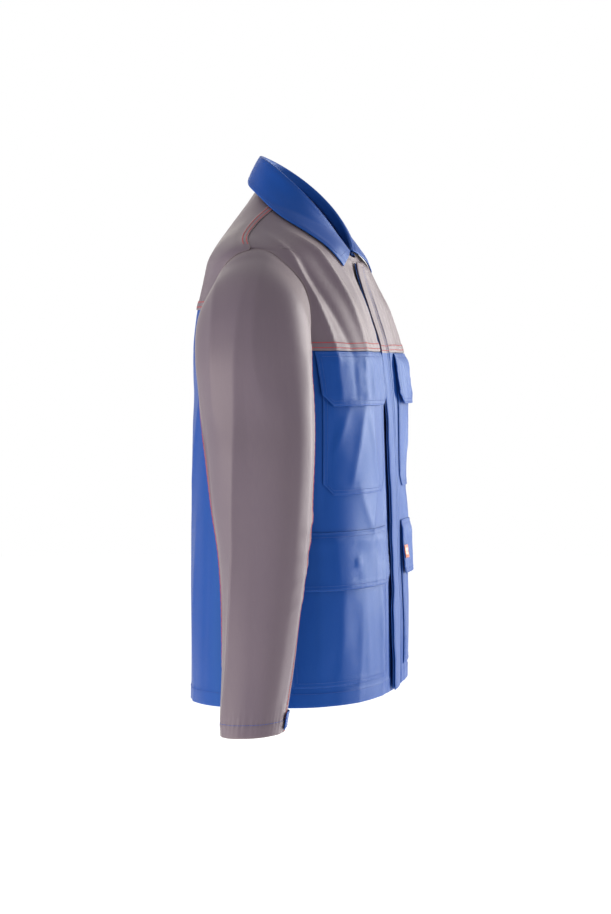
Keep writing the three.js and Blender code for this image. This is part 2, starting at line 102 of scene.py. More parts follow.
camera = add_object("camera", bpy.data.cameras.new("camera"))
towards_camera = direction(CAMERA_AZIMUTH, CAMERA_ELEVATION)
camera.location = middle + towards_camera * CAMERA_DISTANCE
camera.rotation_mode = "QUATERNION"
camera.rotation_quaternion = (-towards_camera).to_track_quat("-Z", "Y")
camera.data.lens = LENS
camera.data.sensor_width = 36
camera.data.shift_x = SIDE_SHIFT
bpy.context.scene.camera = camera
bpy.context.scene.view_settings.view_transform = "Standard"


# %% Studio
def fill(node, **values):
    """Sets a node's sockets by name, with _ for a space."""
    for name, value in values.items():
        node.inputs[name.replace("_", " ")].default_value = value


def new_material(name):
    material = bpy.data.materials.new(name)
    material.use_nodes = True
    return material, material.node_tree, material.node_tree.nodes["Principled BSDF"]


def soft_box(name, azimuth, elevation, distance, width, height, power):
    lamp = bpy.data.lights.new(name, "AREA")
    lamp.shape, lamp.size, lamp.size_y, lamp.energy = "RECTANGLE", width, height, power
    box = add_object(name, lamp)
    out = direction(azimuth, elevation)
    box.location = middle + out * distance
    box.rotation_mode = "QUATERNION"
    box.rotation_quaternion = out.to_track_quat("Z", "Y")


soft_box("front_soft_box", 48, 10, 2.7, 0.45, 2.0, 74)
soft_box("back_soft_box", -148, -4, 2.7, 0.45, 2.0, 36)
soft_box("side_fill", -95, 20, 3.4, 2.4, 2.4, 5)
soft_box("far_fill", 110, 20, 3.2, 2.0, 2.2, 14)

world = bpy.data.worlds.new("pale_room")
bpy.context.scene.world = world
world.use_nodes = True
nodes, links = world.node_tree.nodes, world.node_tree.links
nodes.clear()
CAST_LIGHT, SEEN_LIGHT = 0.6, 1.0
pick, ray = nodes.new("ShaderNodeMixShader"), nodes.new("ShaderNodeLightPath")
links.new(ray.outputs["Is Camera Ray"], pick.inputs["Fac"])
for socket, strength in ((1, CAST_LIGHT), (2, SEEN_LIGHT)):
    light = nodes.new("ShaderNodeBackground")
    fill(light, Color=(1, 1, 1, 1), Strength=strength)
    links.new(light.outputs[0], pick.inputs[socket])
links.new(pick.outputs[0], nodes.new("ShaderNodeOutputWorld").inputs[0])

FLOOR_Z, FLOOR_RADIUS, FLOOR_SIDES = -1.3, 9, 96
disc = bpy.data.meshes.new("floor")
turns = np.linspace(0, 2 * math.pi, FLOOR_SIDES + 1)[:-1]
rim = [(FLOOR_RADIUS * math.cos(a), FLOOR_RADIUS * math.sin(a), FLOOR_Z) for a in turns]
disc.from_pydata(rim, [], [list(range(FLOOR_SIDES))])
floor = add_object("floor", disc)
paint, _, floor_shader = new_material("floor_paint")
white, pale = (1, 1, 1, 1), (0.93, 0.93, 0.93, 1)
fill(floor_shader, Base_Color=pale, Roughness=0.8, Emission_Color=white, Emission_Strength=0.5)
floor.data.materials.append(paint)
floor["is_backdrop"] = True
print("camera, four soft boxes and a floor")

# %% [markdown]
# ## Cloth as a material
# Up close the cloth is a fine twill, and from a step away it is a satin: a clean colour with a broad soft shine. The
# group below puts out the weave's colour, its roughness and its height from the cloth's own measure, a UV map in
# metres, so the threads keep their size and follow each piece. Every cloth uses the group with its own values. Edges
# are painted paler, a painted highlight, by a value that each piece carries along its border.


# %% The woven cloth group
def new_group(name, inputs, outputs):
    group = bpy.data.node_groups.new(name, "ShaderNodeTree")
    for title, kind, value in inputs:
        socket = group.interface.new_socket(title, in_out="INPUT", socket_type=kind)
        socket.default_value = value
    for title, kind in outputs:
        group.interface.new_socket(title, in_out="OUTPUT", socket_type=kind)
    return group, group.nodes.new("NodeGroupInput"), group.nodes.new("NodeGroupOutput")


def math_node(tree, operation, a, b=None, c=None):
    node = tree.nodes.new("ShaderNodeMath")
    node.operation = operation
    for socket, value in zip(node.inputs, (a, b, c)):
        if isinstance(value, (int, float)):
            socket.default_value = value
        elif value is not None:
            tree.links.new(value, socket)
    return node.outputs[0]


def mix_colour(tree, factor, a, b):
    node = tree.nodes.new("ShaderNodeMix")
    node.data_type = "RGBA"
    for socket, value in ((node.inputs[0], factor), (node.inputs[6], a), (node.inputs[7], b)):
        if isinstance(value, (int, float)):
            socket.default_value = value
        elif isinstance(value, tuple):
            socket.default_value = (*value, 1)
        else:
            tree.links.new(value, socket)
    return node.outputs[2]


woven, given, result = new_group(
    "woven_cloth",
    [
        ("Colour", "NodeSocketColor", (0.02, 0.06, 0.27, 1)),
        ("Raised Thread", "NodeSocketColor", (0.05, 0.12, 0.4, 1)),
        ("Thread Pitch", "NodeSocketFloat", 0.0009),
        ("Unevenness", "NodeSocketFloat", 0.2),
        ("Edge Rub", "NodeSocketFloat", 0.5),
    ],
    [("Colour", "NodeSocketColor"), ("Roughness", "NodeSocketFloat"), ("Height", "NodeSocketFloat")],
)
place = woven.nodes.new("ShaderNodeTexCoord")
axes = woven.nodes.new("ShaderNodeSeparateXYZ")
woven.links.new(place.outputs["UV"], axes.inputs[0])
across = math_node(woven, "DIVIDE", axes.outputs[0], given.outputs["Thread Pitch"])
down = math_node(woven, "DIVIDE", axes.outputs[1], given.outputs["Thread Pitch"])
slant = math_node(woven, "MULTIPLY_ADD", down, 0.45, across)
twill = math_node(woven, "SINE", math_node(woven, "MULTIPLY", slant, 2 * math.pi))
pick_line = math_node(woven, "SINE", math_node(woven, "MULTIPLY", down, 4 * math.pi))
weave = math_node(woven, "MULTIPLY_ADD", pick_line, 0.25, twill)
weave = math_node(woven, "MULTIPLY_ADD", weave, 0.4, 0.5)
slub = woven.nodes.new("ShaderNodeTexNoise")
stretched = woven.nodes.new("ShaderNodeMapping")
fill(stretched, Scale=(900, 60, 1))
woven.links.new(place.outputs["UV"], stretched.inputs[0])
woven.links.new(stretched.outputs[0], slub.inputs["Vector"])
fill(slub, Scale=1, Detail=2)
cloud = woven.nodes.new("ShaderNodeTexNoise")
woven.links.new(place.outputs["Object"], cloud.inputs["Vector"])
fill(cloud, Scale=9, Detail=4)


def swing(noise):
    centred = math_node(woven, "SUBTRACT", noise.outputs[0], 0.5)
    return math_node(woven, "MULTIPLY", centred, given.outputs["Unevenness"])


lift = math_node(woven, "ADD", math_node(woven, "MULTIPLY_ADD", weave, 0.28, swing(slub)), swing(cloud))
colour = mix_colour(woven, lift, given.outputs["Colour"], given.outputs["Raised Thread"])
# painted highlight: towards the edges the colour is mixed to the paler raised thread, patchy with the cloud noise
border = woven.nodes.new("ShaderNodeAttribute")
border.attribute_name = "painted_edge_highlight"
painted_highlight = math_node(woven, "MULTIPLY", border.outputs["Fac"], given.outputs["Edge Rub"])
painted_highlight = math_node(woven, "MULTIPLY", painted_highlight, math_node(woven, "MULTIPLY_ADD", cloud.outputs[0], 1.2, 0.4))
colour = mix_colour(woven, painted_highlight, colour, given.outputs["Raised Thread"])
woven.links.new(colour, result.inputs["Colour"])
woven.links.new(math_node(woven, "MULTIPLY_ADD", cloud.outputs[0], 0.16, 0.36), result.inputs["Roughness"])
woven.links.new(math_node(woven, "MULTIPLY_ADD", slub.outputs[0], 0.6, weave), result.inputs["Height"])


# %% The cloths, threads and steel
def cloth_material(
    name, colour, raised, painted_highlight, uneven, sheen, tint=(1, 1, 1), gloss=0.42, glint=(1, 1, 1), pitch=0.0009
):
    """A cloth from the woven group. tint colours its sheen, glint its shine, and the fourth value is its painted edge
    highlight.
    """
    material, tree, shader = new_material(name)
    group = tree.nodes.new("ShaderNodeGroup")
    group.node_tree = woven
    fill(group, Colour=(*colour, 1), Raised_Thread=(*raised, 1), Thread_Pitch=pitch, Unevenness=uneven, Edge_Rub=painted_highlight)
    bump = tree.nodes.new("ShaderNodeBump")
    fill(bump, Strength=0.5, Distance=0.00012)
    tree.links.new(group.outputs["Colour"], shader.inputs["Base Color"])
    tree.links.new(group.outputs["Roughness"], shader.inputs["Roughness"])
    tree.links.new(group.outputs["Height"], bump.inputs["Height"])
    tree.links.new(bump.outputs[0], shader.inputs["Normal"])
    fill(shader, Specular_IOR_Level=gloss, Specular_Tint=(*glint, 1))
    fill(shader, Sheen_Weight=sheen, Sheen_Roughness=0.35, Sheen_Tint=(*tint, 1))
    return material


def thread_material(name, colour):
    material, tree, shader = new_material(name)
    place = tree.nodes.new("ShaderNodeTexCoord")
    ply = tree.nodes.new("ShaderNodeTexNoise")
    fill(ply, Scale=2200)
    tree.links.new(place.outputs["Object"], ply.inputs["Vector"])
    dark = tuple(0.7 * c for c in colour)
    tree.links.new(mix_colour(tree, ply.outputs[0], dark, colour), shader.inputs["Base Color"])
    bump = tree.nodes.new("ShaderNodeBump")
    fill(bump, Distance=0.00008)
    tree.links.new(ply.outputs[0], bump.inputs["Height"])
    tree.links.new(bump.outputs[0], shader.inputs["Normal"])
    fill(shader, Roughness=0.55)
    return material


blue, blue_raised, cool = (0.004, 0.050, 0.285), (0.022, 0.092, 0.39), (0.4, 0.75, 1)
grey, grey_raised = (0.132, 0.100, 0.140), (0.235, 0.185, 0.19)
warm_sheen, warm_shine = (1, 0.86, 0.68), (1, 0.85, 0.7)
blue_cloth = cloth_material("blue_cloth", blue, blue_raised, 0.5, 0.2, 0.02, gloss=0.34, glint=cool)
# the inner faces get darker copies of the blue and grey cloths: a painted shade
blue_shaded_inside = cloth_material("blue_cloth_inside", (0.005, 0.030, 0.17), (0.03, 0.07, 0.25), 0.3, 0.3, 0.06)
grey_cloth = cloth_material("grey_cloth", grey, grey_raised, 0.4, 0.2, 0.25, warm_sheen, 0.5, warm_shine)
grey_shaded_inside = cloth_material("grey_cloth_inside", (0.09, 0.075, 0.10), (0.18, 0.15, 0.18), 0.3, 0.3, 0.1)
red_thread = thread_material("red_thread", (0.66, 0.018, 0.022))
blue_thread = thread_material("blue_thread", (0.02, 0.09, 0.42))
steel, steel_tree, steel_shader = new_material("stud_steel")
steel_place, grain = steel_tree.nodes.new("ShaderNodeTexCoord"), steel_tree.nodes.new("ShaderNodeTexNoise")
fill(grain, Scale=700)
fill(steel_shader, Metallic=0.95)
steel_tree.links.new(steel_place.outputs["Object"], grain.inputs["Vector"])
worn = math_node(steel_tree, "MULTIPLY_ADD", grain.outputs[0], 0.3, 0.18)
steel_tree.links.new(worn, steel_shader.inputs["Roughness"])
metal = mix_colour(steel_tree, grain.outputs[0], (0.30, 0.31, 0.33), (0.62, 0.63, 0.65))
steel_tree.links.new(metal, steel_shader.inputs["Base Color"])
print("materials:", ", ".join(m.name for m in bpy.data.materials))

# %% [markdown]
# ## The form
# The jacket is shown on a hidden form, so its body is a smooth surface of rings: rounded rectangles from the hem to
# the shoulders, then tilted ovals up to the neck. The same rings are in the part's source. They could be read back
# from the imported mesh, but its facets are 20 mm wide, and folds need a smooth ground.

# %% Ring curves, in millimetres
HEM_Z = float(round(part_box("right_front_panel")[0][2] / MM))
YOKE_FRONT_Z, YOKE_BACK_Z, SHOULDER_Z, NECK_LEVEL = -188.0, -130.0, -55.0, 20.0
CHEST_FULLNESS = 0.05
# level, half width, front, side and back depth, squareness, fullness, and the heights in front, beside and behind
RINGS = np.array(
    [
        (HEM_Z, 232, -142, 4, 143, 2.7, 0.0, HEM_Z, -679, -691),
        (-420, 223, -135.5, 4, 140, 2.8, 0.6, -420, -420, -420),
        (-280, 222, -131.5, 4, 138, 2.8, 1.0, -280, -280, -280),
        (YOKE_FRONT_Z, 226, -122, 5, 138, 2.6, 1.5, -188, -188, -188),
        (YOKE_BACK_Z, 232, -105, 9, 134, 2.35, 1.8, -130, -130, -130),
        (-85, 235, -91, 14, 127, 2.15, 1.0, -85, -85, -85),
        (SHOULDER_Z, 239, -83, 18, 120, 2.05, 0.2, -55, -55, -55),
        (-18, 160, -81, 14, 101, 2.0, 0.0, -58, -17, -12),
        (NECK_LEVEL, 78, -79, 8, 66, 2.0, 0.0, -50, 26, 50),
    ],
    float,
)


def gentle_slopes(at, values):
    """The slope at each station of a curve that doesn't overshoot between its values."""
    slope = np.diff(values, axis=0) / np.diff(at).reshape(-1, *[1] * (values.ndim - 1))
    same = slope[:-1] * slope[1:] > 0
    both = np.where(same, slope[:-1] + slope[1:], 1)
    return np.concatenate([slope[:1], np.where(same, 2 * slope[:-1] * slope[1:] / both, 0), slope[-1:]])


def curve_between(t, h, low, high, low_slope, high_slope):
    """The curve at share t of the way between two stations that are h apart."""
    turned = h * t * (1 - t) * ((1 - t) * low_slope - t * high_slope)
    return (1 + 2 * t) * (1 - t) ** 2 * low + t * t * (3 - 2 * t) * high + turned


def smooth_curve(at, values):
    """A curve through (at, value) pairs that doesn't overshoot between them."""
    at, values = np.asarray(at, float), np.asarray(values, float)
    slope = gentle_slopes(at, values)

    def curve(x):
        i = np.clip(np.searchsorted(at[1:], x), 0, len(at) - 2)
        h = at[i + 1] - at[i]
        t = np.clip((x - at[i]) / h, 0, 1)
        return curve_between(t, h, values[i], values[i + 1], slope[i], slope[i + 1])

    return curve


def ring_curve(k):
    """One ring value against level, rounded over the shoulder point, where the rings turn in."""
    plain = smooth_curve(RINGS[:, 0], RINGS[:, k])
    levels = np.arange(-720, 60, 1.0)
    reach = 30 * np.exp(-(((levels - SHOULDER_Z) / 42) ** 2))
    steps = np.linspace(-1, 1, 13)
    weights = np.cos(steps * np.pi / 2) ** 2 + 0.05
    near = [w * plain(np.clip(levels + q * reach, HEM_Z, NECK_LEVEL)) for q, w in zip(steps, weights)]
    return lambda v: np.interp(v, levels, sum(near) / weights.sum())


half, front, side, back, square, full, low_front, low_side, low_back = (ring_curve(k) for k in range(1, 10))


def ring_height(front_z, side_z, back_z, u):
    c = np.cos(np.radians(u))
    even = (front_z + back_z) / 4 - side_z / 2
    return (front_z + back_z) / 4 + side_z / 2 + (front_z - back_z) / 2 * c + even * (2 * c * c - 1)


def ring_radius(width, depth, squareness, u):
    s, c = np.abs(np.sin(np.radians(u))) / width, np.abs(np.cos(np.radians(u))) / depth
    return (s**squareness + c**squareness) ** (-1 / squareness)


def body(u, v):
    """The form's surface: u runs from the centre front (0) over the wearer's left (90), v up from the hem."""
    u, v = np.broadcast_arrays(np.asarray(u, float), np.asarray(v, float))
    ahead = np.cos(np.radians(u)) > 0
    y0 = side(v)
    depth = np.where(ahead, y0 - front(v), back(v) - y0)
    fuller = np.where(ahead, 1 + full(v) * CHEST_FULLNESS * np.sin(np.radians(2 * u)) ** 2, 1)
    r = ring_radius(half(v), depth, square(v), u) * fuller
    z = ring_height(low_front(v), low_side(v), low_back(v), u)
    return np.stack([r * np.sin(np.radians(u)), y0 - r * np.cos(np.radians(u)), z], -1)


def unit(vectors):
    return vectors / np.maximum(np.linalg.norm(vectors, axis=-1, keepdims=True), 1e-9)


def normal(surface, u, v, du=0.5, dv=1.0):
    return unit(np.cross(surface(u + du, v) - surface(u - du, v), surface(u, v + dv) - surface(u, v - dv)))


class Tape:
    """A tape measure: distances along the cloth at each level of a surface, from the first of its angles."""

    def __init__(self, surface, angles, levels):
        self.angles, self.levels = np.asarray(angles, float), np.asarray(levels, float)
        points = surface(self.angles[None, :], self.levels[:, None])
        steps = np.linalg.norm(np.diff(points, axis=1), axis=2)
        self.arcs = np.concatenate([np.zeros((len(levels), 1)), np.cumsum(steps, axis=1)], axis=1)

    def _read(self, value, v, look_up):
        value, v = np.broadcast_arrays(np.asarray(value, float), np.asarray(v, float))
        place = np.interp(v, self.levels, np.arange(len(self.levels)))
        low = np.clip(place.astype(int), 0, len(self.levels) - 2)
        out = np.zeros(value.shape)
        for i in np.unique(low):
            here = low == i
            part = (place - low)[here]
            out[here] = (1 - part) * look_up(value[here], i) + part * look_up(value[here], i + 1)
        return out

    def angle(self, distance, v):
        return self._read(distance, v, lambda x, i: np.interp(x, self.arcs[i], self.angles))

    def distance(self, angle, v):
        if self.angles[0] < self.angles[-1]:
            return self._read(angle, v, lambda x, i: np.interp(x, self.angles, self.arcs[i]))
        return self._read(angle, v, lambda x, i: np.interp(x, self.angles[::-1], self.arcs[i][::-1]))


LEVELS = np.arange(-685, 24, 3.0)
front_tape = Tape(body, np.linspace(0, 104, 320), LEVELS)
back_tape = Tape(body, np.linspace(180, 76, 320), LEVELS)
chest = float(front_tape.distance(90, -280) + back_tape.distance(90, -280)) * 2
print("the form is", round(chest), "mm round the chest")

# %% The armhole on the form
ARMHOLE_Y, ARMHOLE_Z, ARMHOLE_DEPTH, ARMHOLE_HEIGHT = 4.0, -147.0, 78.0, 98.0
TUCK = 5.0
SIDES = {"right": -1, "left": 1}


def angle_at(y, v, low, high):
    """The angle between low and high where the form at level v is at depth y."""
    low, high = np.full(np.shape(v), float(low)), np.full(np.shape(v), float(high))
    for _ in range(40):
        mid = (low + high) / 2
        short = body(mid, v)[..., 1] < y
        low, high = np.where(short, mid, low), np.where(short, high, mid)
    return low


# the upper front of the armhole is squarer than an oval: its reach in mm against height
armhole_shoulder = smooth_curve([0, 0.214, 0.459, 0.684, 0.827, 0.93, 0.98, 1], [68, 66, 58.5, 44.5, 31, 19, 9, 0])


def armhole_reach(t, ahead):
    """How far the armhole reaches from its middle at height t, from -1 to 1: its front is squarer."""
    t = np.clip(t, -1, 1)
    if not ahead:
        return ARMHOLE_DEPTH * np.sqrt(1 - t * t)
    return np.where(t > 0, armhole_shoulder(t), 68 * (1 - np.abs(np.minimum(t, 0)) ** 3) ** (1 / 3))


def armhole_angle(v, ahead):
    """The angle where a row of the front (ahead) or of the back ends, at the armhole or at the seam."""
    v = np.asarray(v, float)
    seam = 90 + 6 * np.sin(np.pi * np.clip((v + 46) / 66, 0, 1))
    angle = np.full(v.shape, 75.0 if ahead else 105.0)
    for _ in range(3):
        reach = armhole_reach((body(angle, v)[..., 2] - ARMHOLE_Z) / ARMHOLE_HEIGHT, ahead)
        open_here = (reach > 1) & (v < -46)
        y = np.minimum(ARMHOLE_Y - reach, side(v)) if ahead else np.maximum(ARMHOLE_Y + reach, side(v))
        found = angle_at(y, v, 20, 90) if ahead else angle_at(y, v, 90, 160)
        angle = np.where(open_here, found, seam)
    return angle


FRONT_END = front_tape.distance(armhole_angle(LEVELS, True), LEVELS)
BACK_END = back_tape.distance(armhole_angle(LEVELS, False), LEVELS)

# %% [markdown]
# ## Folds
# Cloth on a form isn't smooth: it pulls from the shoulder point and the neck towards the chest, hangs in soft upright
# folds below, and puckers beside each seam, where the thread is tighter than the cloth. Each fold here is a ridge
# along a line, measured on the cloth in millimetres, and gentle waves with fixed seeds keep the ground between them
# from being flat. Every layer over the body, such as a pocket or a flap, adds its own height to the same ground, so
# that no layer cuts into the one below.


# %% Folds, waves and puckers
def smoothstep(low, high, x):
    t = np.clip((x - low) / (high - low), 0, 1)
    return t * t * (3 - 2 * t)


def ridge(s, z, start, end, width, height, bend=0.0, tip=2.2):
    """A ridge with a soft crest from start to end, or a furrow if height is negative. bend bows it sideways."""
    a, b = np.array(start, float), np.array(end, float)
    line = b - a
    length = np.linalg.norm(line)
    t = ((s - a[0]) * line[0] + (z - a[1]) * line[1]) / length**2
    off = ((s - a[0]) * line[1] - (z - a[1]) * line[0]) / length
    off = off - bend * np.sin(np.pi * np.clip(t, 0, 1))
    ends = np.exp(-((np.minimum(t, 0) * length / (1.6 * width)) ** 2))
    ends = ends * np.exp(-((np.maximum(t - 1, 0) * length / (1.6 * width)) ** 2))
    swell = 0.55 + 0.45 * np.sin(np.pi * np.clip(t, 0.02, 0.98))
    return height * swell * ends * np.exp(-(np.sqrt(off**2 + tip**2) - tip) / (0.62 * width))


def waves(s, z, seed, across, along, height, count=7):
    """Gentle random waves: across and along are their usual lengths."""
    rng = np.random.default_rng(seed)
    total = np.zeros(np.broadcast(s, z).shape)
    for _ in range(count):
        ks = rng.normal() / across
        kz = rng.normal() / along
        total = total + np.sin(2 * np.pi * (ks * s + kz * z) + rng.uniform(0, 6.28))
    return height * total / math.sqrt(count)


def pucker(along, away, seed, height=0.35, pitch=11.0, reach=9.0):
    """Small ripples beside a seam that fade away from it."""
    drift = waves(along, along * 0, seed, 70, 70, 1.3, 4)
    return height * np.sin(2 * np.pi * along / pitch + drift) * np.exp(-away / reach)


# each fold: start and end (from the centre, level), width, height and bow
YOKE_FOLDS = [
    ((214, -34), (195, -192), 10, 6.0, 0),
    ((200, -50), (160, -186), 13, -4.5, 0),
    ((182, -6), (124, -188), 14, 7.0, 15),
    ((150, -50), (100, -190), 11, 3.6, 6),
    ((132, -56), (90, -188), 11, -2.6, 6),
    ((96, -60), (84, -192), 11, 2.4, 3),
]
BODY_FOLDS = [
    ((46, -196), (50, -420), 7, 2.0, 0),
    ((50, -400), (46, -670), 9, 2.6, 3),
    ((146, -392), (112, -450), 14, 3.0, 0),
    ((98, -392), (122, -446), 10, 2.0, 0),
    ((84, -520), (80, -676), 13, 2.6, 3),
    ((240, -270), (232, -600), 20, 2.6, 6),
    ((205, -300), (228, -430), 13, -1.8, 0),
    ((150, -560), (160, -690), 18, 2.0, 0),
    ((206, -600), (214, -690), 18, -1.8, 0),
]
BACK_FOLDS = [
    ((178, -70), (112, -225), 18, 5.0, -8),
    ((156, -60), (88, -180), 14, -3.2, -4),
    ((190, -235), (146, -430), 17, 4.2, 9),
    ((60, -230), (74, -680), 24, 3.8, 8),
    ((120, -300), (132, -685), 20, 4.0, -6),
    ((0, -260), (-6, -690), 26, 3.0, 10),
    ((178, -440), (176, -685), 18, 3.6, 5),
    ((215, -260), (218, -640), 14, -2.0, 0),
    ((30, -62), (46, -128), 12, 2.0, 0),
]


def front_hollow(s, z):
    """The fronts sink towards the fly between the two sides of the chest."""
    return -6.5 * np.exp(-((s / 42) ** 2)) * smoothstep(-470, -200, z) * smoothstep(-50, -80, z)


def front_drape(s, z, wearer_side):
    """How far the front stands off the form, s from the centre front."""
    scale, shift = (1.0, 0) if wearer_side < 0 else (0.9, 7)
    total = waves(s, z, 11 + wearer_side, 120, 300, 1.1)
    on_yoke = smoothstep(YOKE_FRONT_Z - 40, YOKE_FRONT_Z, z) * 0.9 + 0.1
    for start, end, width, height, bend in YOKE_FOLDS:
        total = total + on_yoke * ridge(s - shift, z, start, end, width, height * scale, bend)
    for start, end, width, height, bend in BODY_FOLDS:
        total = total + ridge(s + shift, z, start, end, width, height * scale, bend)
    if wearer_side < 0:
        total = total + ridge(s, z, (68, -66), (56, -250), 15, 5.2, 0) * smoothstep(-60, -84, z)
        edge = smoothstep(10, 42, s)
    else:
        for start, end, height in ((45, 40, 2.6), (58, 50, 2.2), (76, 62, 2.8)):
            total = total + ridge(s, z, (start, -66), (end, -192), 6, height, 1.5, 1.2) * on_yoke
        total = total + 3.5 * smoothstep(60, 130, s) * smoothstep(-150, -230, z)
        edge = smoothstep(0, 28, s + 8)
    to_end = np.interp(z, LEVELS, FRONT_END) - s
    return front_hollow(s, z) + total * edge * smoothstep(4, -30, z) * (0.12 + 0.88 * smoothstep(0, 12, to_end))


def back_drape(s, z):
    """How far the back stands off the form, s from the centre back, positive on the wearer's left."""
    total = waves(s, z, 31, 150, 360, 1.2)
    for start, end, width, height, bend in BACK_FOLDS:
        for mirror, scale in ((1, 1.0), (-1, 0.85)):
            total = total + scale * ridge(mirror * s, z, start, end, width, height, bend)
            if start[0] == 0:
                break
    to_end = np.interp(z, LEVELS, BACK_END) - np.abs(s)
    return total * smoothstep(30, -10, z) * (0.12 + 0.88 * smoothstep(0, 30, to_end))


# %% [markdown]
# ## From a laid-out grid to a sewn piece
# A cut piece is a grid of points on its outer face and the same grid on its inner face, joined round the edge by a
# rounded rim: one closed body, as real cloth is. Grid lines are close together beside the edges, exactly where the
# rows of stitches run, so that a row sits in the small groove that it pulls.

# %% Grids and closed cloth
CLOTH = 1.3
EDGE = (0.7, 1.8, 3.6, 6.4, 8.2, 10.5)
FIRST_ROW, SECOND_ROW = 2, 4
WIDE_ROWS = (3, 6)
pieces = {}


def spread(length, step, start=EDGE, end=EDGE):
    """Distances along rows of the given lengths: fixed beside both ends, and even between."""
    length = np.atleast_1d(np.asarray(length, float))
    a, b = (start or (0,))[-1], (end or (0,))[-1]
    count = max(2, int(round((length.max() - a - b) / step)))
    inner = np.linspace(0, 1, count + 1)[None, :] * (length - a - b)[:, None] + a
    left = np.repeat(np.array([[0.0, *start[:-1]] if start else []], float), len(length), 0)
    right = length[:, None] - np.array([[*end[:-1][::-1], 0.0] if end and len(end) > 1 else ([0.0] if end else [])])
    return np.concatenate([left, inner, right], axis=1)


def across_grid(points):
    """The direction square to the grid at each of its points, to one side or the other."""
    return unit(np.cross(np.gradient(points, axis=1), np.gradient(points, axis=0)))


def grid_normals(points, like):
    n = across_grid(points)
    return n * np.where((n * like).sum(-1, keepdims=True) < 0, -1, 1)


def closed_cloth(name, outer, inner, cloth_uv, materials, highlight_reach):
    """One closed mesh from the outer and inner grids, with a rounded rim."""
    rows, cols = outer.shape[:2]
    index = np.arange(rows * cols).reshape(rows, cols)
    rim = np.concatenate([index[0, :-1], index[:-1, -1], index[-1, :0:-1], index[:0:-1, 0]])
    r, c = rim // cols, rim % cols
    r_in, c_in = np.clip(r, 1, rows - 2), np.clip(c, 1, cols - 2)
    outwards = unit(outer[r, c] - outer[r_in, c_in])
    thick = np.linalg.norm(outer[r, c] - inner[r, c], axis=1, keepdims=True)
    bulge = (outer[r, c] + inner[r, c]) / 2 + outwards * thick * 0.35
    points = np.concatenate([outer.reshape(-1, 3), inner.reshape(-1, 3), bulge])
    n, k = rows * cols, len(rim)
    a, b, c2, d = index[:-1, :-1].ravel(), index[:-1, 1:].ravel(), index[1:, 1:].ravel(), index[1:, :-1].ravel()
    following = np.roll(np.arange(k), -1)
    mid, mid_next = 2 * n + np.arange(k), 2 * n + following
    faces = np.concatenate(
        [
            np.stack([a, b, c2, d], 1),
            np.stack([n + a, n + d, n + c2, n + b], 1),
            np.stack([rim[following], rim, mid, mid_next], 1),
            np.stack([mid_next, mid, n + rim, n + rim[following]], 1),
        ]
    )
    p = points[faces]
    volume = np.einsum("ij,ij->i", p[:, 0], np.cross(p[:, 1], p[:, 2]) + np.cross(p[:, 2], p[:, 3])).sum()
    if volume < 0:
        faces = faces[:, ::-1]
    mesh = bpy.data.meshes.new(name)
    mesh.from_pydata((points * MM).tolist(), [], faces.tolist())
    for material in materials:
        mesh.materials.append(material)
    count = len(a)
    slots = np.zeros(len(faces), int)
    # the inner faces take the second material, which for the blue and grey cloths is a darker copy that paints shade
    slots[count : 2 * count] = 1
    mesh.polygons.foreach_set("material_index", slots)
    mesh.polygons.foreach_set("use_smooth", np.ones(len(faces), bool))
    flat = cloth_uv.reshape(-1, 2)
    uv = np.concatenate([flat, flat, flat[rim]]) * MM
    layer = mesh.uv_layers.new(name="cloth")
    corner = np.zeros(len(mesh.loops), int)
    mesh.loops.foreach_get("vertex_index", corner)
    layer.data.foreach_set("uv", uv[corner].ravel())
    # painted highlight along the edges: full on the rim, strongest at the border of the outer face and weaker on the
    # inner face
    away = distance_to_border(outer)
    painted_highlight = np.exp(-((away / highlight_reach) ** 2)).ravel()
    attribute = mesh.attributes.new("painted_edge_highlight", "FLOAT", "POINT")
    attribute.data.foreach_set("value", np.concatenate([painted_highlight, painted_highlight * 0.4, np.ones(k)]).astype(np.float32))
    mesh.update()
    return add_object(name, mesh)


def distance_to_border(grid):
    """Each grid point's distance along the cloth to the nearest edge."""
    to_edge = []
    for axis in (1, 0):
        steps = np.linalg.norm(np.diff(grid, axis=axis, prepend=grid.take([0], axis)), axis=2)
        run = np.cumsum(steps, axis)
        to_edge += [run, run.take([-1], axis) - run]
    return np.minimum.reduce(to_edge)


def keep_piece(name, outer, normals, thick, cloth_uv, materials, replaced=(), highlight_reach=1.6):
    """Closes a grid, hides the frame's parts that it replaces, and keeps it for the rows of stitches."""
    piece = closed_cloth(name, outer, outer - normals * thick, cloth_uv, materials, highlight_reach)
    if replaced:
        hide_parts(*replaced)
    pieces[name] = {"object": piece, "outer": outer, "normals": normals}


def sew_piece(name, points, normals, height, cloth_uv, materials, replaced, thick=CLOTH):
    """Raises a grid by height along its normals and keeps it."""
    outer = points + normals * np.asarray(height)[..., None]
    keep_piece(name, outer, grid_normals(outer, normals), thick, cloth_uv, materials, replaced)


# %% [markdown]
# ## Stitches
# A row of stitches is short bars of thread with a gap between them, each pulled into the cloth. Thousands repeat
# along the seams, so Geometry Nodes sets one low stitch out on points: each point carries the seam's direction and
# the cloth's outward direction. The result is made real and kept as one plain mesh for each body and thread.

# %% Rows of stitches
STITCH_PITCH = 3.4
stitch_rows = {}


